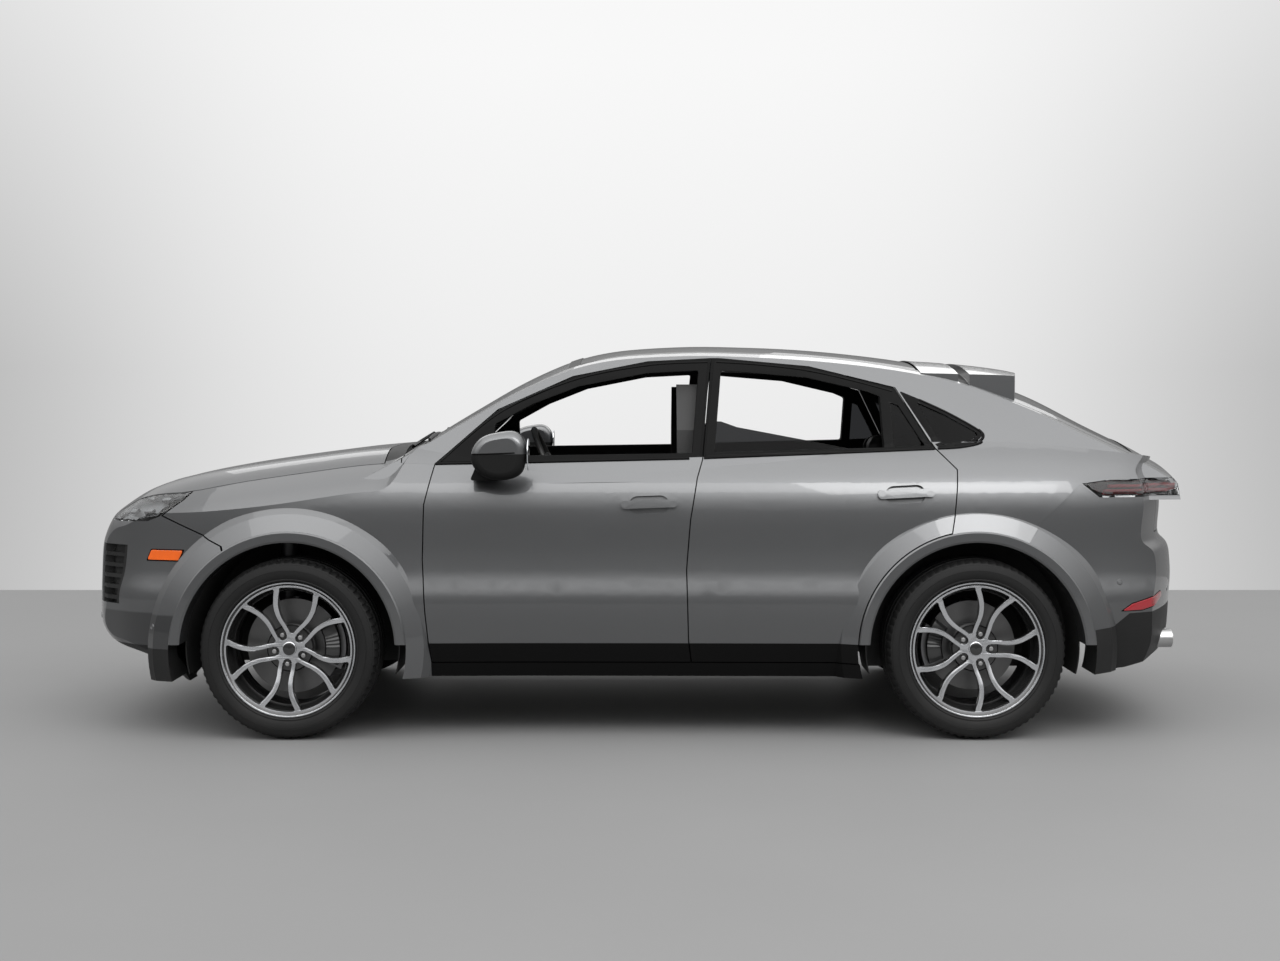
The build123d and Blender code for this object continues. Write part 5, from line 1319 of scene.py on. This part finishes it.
def make_dashboard():
    body = body_of_node["dashboard"]
    profile = [
        (-0.930, 1.108), (-0.860, 1.128), (-0.760, 1.142), (-0.690, 1.140), (-0.628, 1.118), (-0.596, 1.084),
        (-0.586, 1.040), (-0.592, 1.000), (-0.612, 0.972), (-0.606, 0.955), (-0.600, 0.905), (-0.618, 0.850),
        (-0.655, 0.790), (-0.760, 0.768), (-0.930, 0.764),
    ]
    rows = 61
    points = []
    for i in range(rows):
        y = -0.728 + 1.456 * i / (rows - 1)
        hood = 0.0
        away = abs(y + 0.380) / 0.190
        if away < 1:
            hood = (1 - away ** 2) ** 1.5
        bow = 0.030 * (y / 0.73) ** 2
        for x, z in profile:
            lift = 0.0
            if -0.80 < x < -0.58 and z > 1.03:
                lift = 0.020 * hood * (1 - abs(x + 0.67) / 0.14)
            points.append((x + bow * (1 if x > -0.8 else 0), y, z + max(0.0, lift)))
    size = len(profile)
    faces = grid_faces(rows, size, False, True) + [tuple(range(size)),
                                                   tuple(range((rows - 1) * size, rows * size))]
    pad = add_mesh("dash_pad", points, faces, ["cabin_plastic"], body, "cabin_plastic", 50)
    fix_normals(pad)
    parts = [pad]
    screens, vents, chrome = [], [], []
    lean = Matrix.Rotation(radians(-14), 3, "Y")
    for y, z, wide, tall in ((-0.380, 1.048, 0.300, 0.110), (0.0, 1.030, 0.290, 0.116),
                             (0.370, 1.030, 0.260, 0.085)):
        screens.append(rounded_block((-0.588, y, z), (0.012, wide, tall), 0.005, lean))
    for y in (-0.665, -0.185, 0.185, 0.665):
        for k in range(5):
            vents.append(rounded_block((-0.590, y, 0.902 + 0.014 * k), (0.022, 0.104, 0.0035), 0.0012, lean))
        chrome.append(rounded_block((-0.590, y, 0.978), (0.010, 0.112, 0.004), 0.0015, lean))
        chrome.append(rounded_block((-0.592, y, 0.890), (0.010, 0.112, 0.004), 0.0015, lean))
    parts.append(add_mesh("dash_screens", *merge(screens), ["gloss_black"], body, None))
    parts.append(add_mesh("dash_vents", *merge(vents), ["black_trim"], body, "black_trim"))
    chrome.append(rounded_block((-0.596, 0.40, 0.872), (0.008, 0.52, 0.006), 0.002, lean))
    console = [
        rounded_block((-0.230, 0, 0.560), (0.620, 0.235, 0.160), 0.030),
        rounded_block((-0.520, 0, 0.760), (0.170, 0.235, 0.220), 0.030,
                      Matrix.Rotation(radians(-38), 3, "Y")),
        rounded_block((0.130, 0, 0.668), (0.300, 0.200, 0.060), 0.024),
    ]
    parts.append(add_mesh("centre_console", *merge(console), ["hide"], body, "seat_leather"))
    panel = [rounded_block((-0.250, 0, 0.646), (0.380, 0.150, 0.012), 0.005)]
    parts.append(add_mesh("console_panel", *merge(panel), ["gloss_black"], body, None))
    lever = [rounded_block((-0.400, -0.020, 0.700), (0.030, 0.034, 0.060), 0.010)]
    for hand in (-1, 1):
        chrome.append(rounded_block((-0.300, hand * 0.100, 0.690), (0.260, 0.014, 0.012), 0.004))
        for x in (-0.400, -0.200):
            chrome.append(rounded_block((x, hand * 0.100, 0.664), (0.014, 0.012, 0.050), 0.004))
    parts.append(add_mesh("drive_lever", *merge(lever), ["hide"], body, None))
    parts.append(add_mesh("dash_brightwork", *merge(chrome), ["satin_steel"], body, None))
    for part in parts:
        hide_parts("dashboard")


ARMREST_SECTION = [(-0.026, -0.030), (-0.034, 0.0), (-0.030, 0.018), (-0.012, 0.028), (0.018, 0.028),
                   (0.030, 0.018), (0.030, -0.030)]
INLAY_SECTION = [(-0.006, -0.022), (-0.010, -0.018), (-0.010, 0.018), (-0.006, 0.022), (0.006, 0.022),
                 (0.006, -0.022)]
POCKET_SECTION = [(-0.024, -0.050), (-0.034, 0.040), (-0.026, 0.046), (-0.018, 0.040), (-0.010, -0.040),
                  (0.024, -0.050)]


def make_door_cards():
    """Armrests, inlays and pockets on the doors' inner faces."""
    for hand_name, hand in HANDS:
        for place, start, end, low in (("front", -0.800, 0.180, 0.500), ("rear", 0.340, 0.960, 0.540)):
            body = f"{place}_door_{hand_name}"
            tree = skin(body)

            def inside(x, z):
                here = Vector((x, hand * 0.60, z))
                spot, _, _, _ = tree.ray_cast(here, Vector((0, hand, 0)))
                return spot.y if spot is not None else hand * 0.86

            def along(margin, short, level, off, height, rise=0.0):
                """Places along the door's inner face, set off it and rising to the rear."""
                path = []
                for k in range(15):
                    t = k / 14
                    x = start + margin + (end - start - short) * t
                    path.append(Vector((x, inside(x, level) - hand * off, height + rise * t)))
                return path

            swept(f"{place}_armrest_{hand_name}", along(0.10, 0.12, 0.86, 0.020, 0.845, 0.035),
                  ARMREST_SECTION,
                  body, "hide", "seat_leather", smooth=50)
            swept(f"{place}_door_inlay_{hand_name}", along(0.04, 0.06, 1.0, 0.006, 0.985, 0.030),
                  INLAY_SECTION,
                  body, "satin_steel", None)
            swept(f"{place}_door_pocket_{hand_name}", along(0.10, 0.20, low, 0.022, low + 0.02),
                  POCKET_SECTION,
                  body, "cabin_plastic", "cabin_plastic")


def line_cabin():
    """Gives the faces that look into the cabin their own trim."""
    for node, finish, low in (
        ("front_door", "cabin_plastic", 0.0), ("rear_door", "cabin_plastic", 0.0),
        ("side_frame", "headliner", 0.62), ("roof_frame", "headliner", 1.3),
        ("tailgate", "cabin_plastic", 0.0),
    ):
        for name in (f"{node}_left", f"{node}_right", node):
            if name not in frame["nodes"]:
                continue
            obj = frame["nodes"][name]
            obj.data.materials.append(materials[finish])
            slot = len(obj.data.materials) - 1
            hand = -1 if name.endswith("_left") else 1
            for face in obj.data.polygons:
                centre, normal = face.center, face.normal
                if centre.z < low:
                    continue
                if node in ("front_door", "rear_door", "side_frame"):
                    inward = normal.y * hand < -0.25 and abs(centre.y) < 0.955
                elif node == "roof_frame":
                    inward = normal.z < -0.25
                else:
                    inward = normal.x < -0.2 and normal.z < 0.3 and centre.x < 2.2
                if inward:
                    face.material_index = slot


# ---- property groups ----------------------------------------------------------------------
class VehicleFinish(bpy.types.PropertyGroup):
    """Colours and finishes that a user would change."""

    paint: bpy.props.FloatVectorProperty(
        name="Paint", description="Colour of the body's metallic paint", subtype="COLOR", size=3,
        min=0.0, max=1.0, default=(0.105, 0.107, 0.110),
    )


class VehicleStage(bpy.types.PropertyGroup):
    """The studio's floor, lights and camera."""

    floor_half: bpy.props.FloatProperty(
        name="Floor", description="Half the floor's width", subtype="DISTANCE", default=4.67, min=1.0,
    )
    camera_lens: bpy.props.FloatProperty(
        name="Lens", description="The camera's focal length in millimetres", default=46.99, min=10.0,
    )


# ---- operators ----------------------------------------------------------------------------
class VEHICLE_OT_finishes(bpy.types.Operator):
    """Builds the materials and lays them on the frame's own pieces"""

    bl_idname = "vehicle.finishes"
    bl_label = "Finishes"

    def execute(self, context):
        make_materials()
        for node, obj in frame["nodes"].items():
            assign(obj, NODE_FINISH[plain_name(node)])
        return {"FINISHED"}


def make_calipers():
    """Ribbed brake calipers that straddle the discs."""
    for place, hub, middle_angle in (("front", "front_knuckle", 8), ("rear", None, 172)):
        for hand_name, hand in HANDS:
            low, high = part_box(f"{place}_brake_disc_{hand_name}")
            centre = ((low.x + high.x) / 2, 0, (low.z + high.z) / 2)
            face = max(abs(low.y), abs(high.y))
            radius = (high.z - low.z) / 2
            body = body_of_node[f"{hub}_{hand_name}"] if hub else "body"
            points = []
            section = [(radius - 0.058, 0.006), (radius - 0.050, 0.019), (radius - 0.020, 0.023),
                       (radius + 0.006, 0.019),
                       (radius + 0.011, 0.006), (radius + 0.011, 0.003), (radius - 0.058, 0.003)]
            for i in range(25):
                t = i / 24
                turn = radians(middle_angle + (t - 0.5) * 58)
                ends = 1 - 0.35 * abs(2 * t - 1) ** 6
                rib = 0.0025 if 8 <= i <= 16 and i % 2 else 0.0
                for r, d in section:
                    d2 = d * ends + (rib if d > 0.015 else 0)
                    points.append((centre[0] + r * cos(turn), hand * (face + d2), centre[2] + r * sin(turn)))
            size = len(section)
            faces = grid_faces(25, size, False, True) + [tuple(range(size)),
                                                         tuple(range(24 * size, 25 * size))]
            caliper = add_mesh(f"brake_caliper_{place}_{hand_name}", points, faces, ["caliper_coat"], body,
                               None, 30)
            fix_normals(caliper)


class VEHICLE_OT_wheels(bpy.types.Operator):
    """Replaces the frame's tyres and wheels with treaded tyres and machined wheels"""

    bl_idname = "vehicle.wheels"
    bl_label = "Wheels"

    def execute(self, context):
        for place, first_axis in (("front", 10), ("rear", 36)):
            for hand_name, hand in HANDS:
                centre, half = make_tyre(place, hand_name, hand)
                make_wheel(place, hand_name, hand, centre, half, first_axis)
        make_calipers()
        return {"FINISHED"}


class VEHICLE_OT_lamps(bpy.types.Operator):
    """Opens the lamps up into clear covers, housings and light guides"""

    bl_idname = "vehicle.lamps"
    bl_label = "Lamps"

    def execute(self, context):
        make_headlamps()
        make_tail_lamps()
        return {"FINISHED"}


class VEHICLE_OT_trims(bpy.types.Operator):
    """Lays mouldings, markers, reflectors, sensors, mirror glass and wipers on the skin"""

    bl_idname = "vehicle.trims"
    bl_label = "Trims"

    def execute(self, context):
        make_trims()
        make_mirrors()
        make_wipers()
        return {"FINISHED"}


class VEHICLE_OT_cabin(bpy.types.Operator):
    """Fits the cabin with padded seats, a steering wheel, a dashboard and door cards"""

    bl_idname = "vehicle.cabin"
    bl_label = "Cabin"

    def execute(self, context):
        make_seats()
        make_steering_wheel()
        make_dashboard()
        make_door_cards()
        line_cabin()
        return {"FINISHED"}


SENSOR_WIDTH = 36.0
CAMERA_SHIFT = -78.0 / 1280.0
CAMERA_PLACE = (-0.011, -7.985, 1.420)
AREA_LIGHTS = (  # name, place, turn, size, power in watts
    ("overhead_soft", (0, 0.2, 4.4), (0, 0, 0), (7.0, 2.4), 40),
    ("left_soft", (0, -5.0, 4.2), (radians(48), 0, 0), (8.0, 1.6), 60),
    ("right_soft", (0, 5.0, 4.2), (radians(-48), 0, 0), (8.0, 1.6), 34),
    ("left_rear_soft", (2.6, -4.6, 4.0), (radians(50), 0, radians(12)), (3.2, 1.8), 70),
    ("right_rear_soft", (2.6, 4.6, 4.0), (radians(-50), 0, radians(-12)), (3.2, 1.8), 14),
)


class VEHICLE_OT_stage(bpy.types.Operator):
    """Lays the floor and sets the lights and the camera"""

    bl_idname = "vehicle.stage"
    bl_label = "Stage"

    def execute(self, context):
        scene = context.scene
        sizes = scene.vehicle_stage
        half = sizes.floor_half
        wide, deep = half * 1.9, half * 1.3
        mesh = bpy.data.meshes.new("studio_floor")
        mesh.from_pydata(
            [(-wide, -deep, 0), (wide, -deep, 0), (wide, half, 0), (-wide, half, 0)], [], [(0, 1, 2, 3)],
        )
        floor = bpy.data.objects.new("studio_floor", mesh)
        scene.collection.objects.link(floor)
        material, tree, shader = finish_material("studio_paint", Roughness=0.6, Specular_IOR_Level=0.2)
        place = tree.put("ShaderNodeTexCoord").outputs["Object"]
        cloud = tree.put("ShaderNodeTexNoise", {"Vector": place, "Scale": 0.8, "Detail": 6.0})
        tint = tree.mix(cloud.outputs["Fac"], colour(0.195), colour(0.212))
        tree.links.new(tint, shader.inputs["Base Color"])
        mesh.materials.append(material)
        world = bpy.data.worlds.new("studio")
        scene.world = world
        world.use_nodes = True
        tree = Tree(world.node_tree)
        direction = tree.put("ShaderNodeTexCoord").outputs["Generated"]
        level = tree.put("ShaderNodeSeparateXYZ", {"Vector": direction}).outputs["Z"]
        axes = tree.put("ShaderNodeSeparateXYZ", {"Vector": direction}).outputs
        across = tree.math("MULTIPLY", axes["X"], axes["Y"])
        corner = tree.ramp(tree.math("MULTIPLY", across, across), (0.0, 0.15, 0.0, 1.0))
        corner.node.interpolation_type = "SMOOTHSTEP"
        wall = tree.mix(tree.ramp(level, (-0.02, 0.20, 0.0, 1.0)), colour(0.84), colour(0.94))
        dim = tree.mix(tree.ramp(level, (0.02, 0.24, 0.0, 1.0)), colour(0.46), colour(0.72))
        wall = tree.mix(corner, wall, dim)
        wall = tree.mix(tree.ramp(level, (-0.130, -0.118, 0.0, 1.0)), colour(0.38), wall)
        near = tree.ramp(axes["Y"], (-0.30, 0.30, 1.0, 0.0))
        side = tree.mix(near, colour(0.75), colour(1.75))
        room = tree.mix(tree.ramp(level, (0.10, 0.42, 0.0, 1.0)), colour(0.22), side)
        side = tree.mix(near, colour(0.80), colour(2.7))
        room = tree.mix(tree.ramp(level, (0.40, 0.80, 0.0, 1.0)), room, side)
        rays = tree.put("ShaderNodeLightPath").outputs
        seen = tree.math("MAXIMUM", rays["Is Camera Ray"], rays["Is Transmission Ray"])
        sky = tree.mix(seen, room, wall)
        shade = next(node for node in tree.nodes if node.type == "BACKGROUND")
        tree.links.new(sky, shade.inputs["Color"])
        shade.inputs["Strength"].default_value = 1.0
        for name, place, turn, size, power in AREA_LIGHTS:
            light = bpy.data.lights.new(name, "AREA")
            light.shape = "RECTANGLE"
            light.size, light.size_y = size
            light.energy = power
            lamp = bpy.data.objects.new(name, light)
            lamp.location = place
            lamp.rotation_euler = turn
            scene.collection.objects.link(lamp)
        camera = bpy.data.cameras.new("camera")
        camera.lens = sizes.camera_lens
        camera.sensor_width = SENSOR_WIDTH
        camera.shift_y = CAMERA_SHIFT
        eye = bpy.data.objects.new("camera", camera)
        eye.location = CAMERA_PLACE
        eye.rotation_euler = (radians(90), 0, 0)
        scene.collection.objects.link(eye)
        scene.camera = eye
        scene.view_settings.view_transform = "Standard"
        return {"FINISHED"}


class VEHICLE_PT_panel(bpy.types.Panel):
    """Lists the vehicle's sizes, colours and building steps"""

    bl_idname = "VEHICLE_PT_panel"
    bl_label = "Coupe sport utility vehicle"
    bl_space_type = "VIEW_3D"
    bl_region_type = "UI"
    bl_category = "Vehicle"

    def draw(self, context):
        layout = self.layout
        for group in (context.scene.vehicle_finish, context.scene.vehicle_stage):
            for key in group.bl_rna.properties.keys():
                if key not in ("rna_type", "name"):
                    layout.prop(group, key)
        for step in STEPS:
            layout.operator(step.bl_idname)


STEPS = (
    VEHICLE_OT_finishes, VEHICLE_OT_wheels, VEHICLE_OT_lamps, VEHICLE_OT_trims, VEHICLE_OT_cabin,
    VEHICLE_OT_stage,
)
GROUPS = (VehicleFinish, VehicleStage)


def register():
    for item in (*GROUPS, *STEPS, VEHICLE_PT_panel):
        bpy.utils.register_class(item)
    bpy.types.Scene.vehicle_finish = bpy.props.PointerProperty(type=VehicleFinish)
    bpy.types.Scene.vehicle_stage = bpy.props.PointerProperty(type=VehicleStage)


def unregister():
    del bpy.types.Scene.vehicle_stage
    del bpy.types.Scene.vehicle_finish
    for item in reversed((*GROUPS, *STEPS, VEHICLE_PT_panel)):
        bpy.utils.unregister_class(item)


def main():
    register()
    for step in STEPS:
        group, call = step.bl_idname.split(".")
        getattr(getattr(bpy.ops, group), call)()


if __name__ == "__main__":
    main()
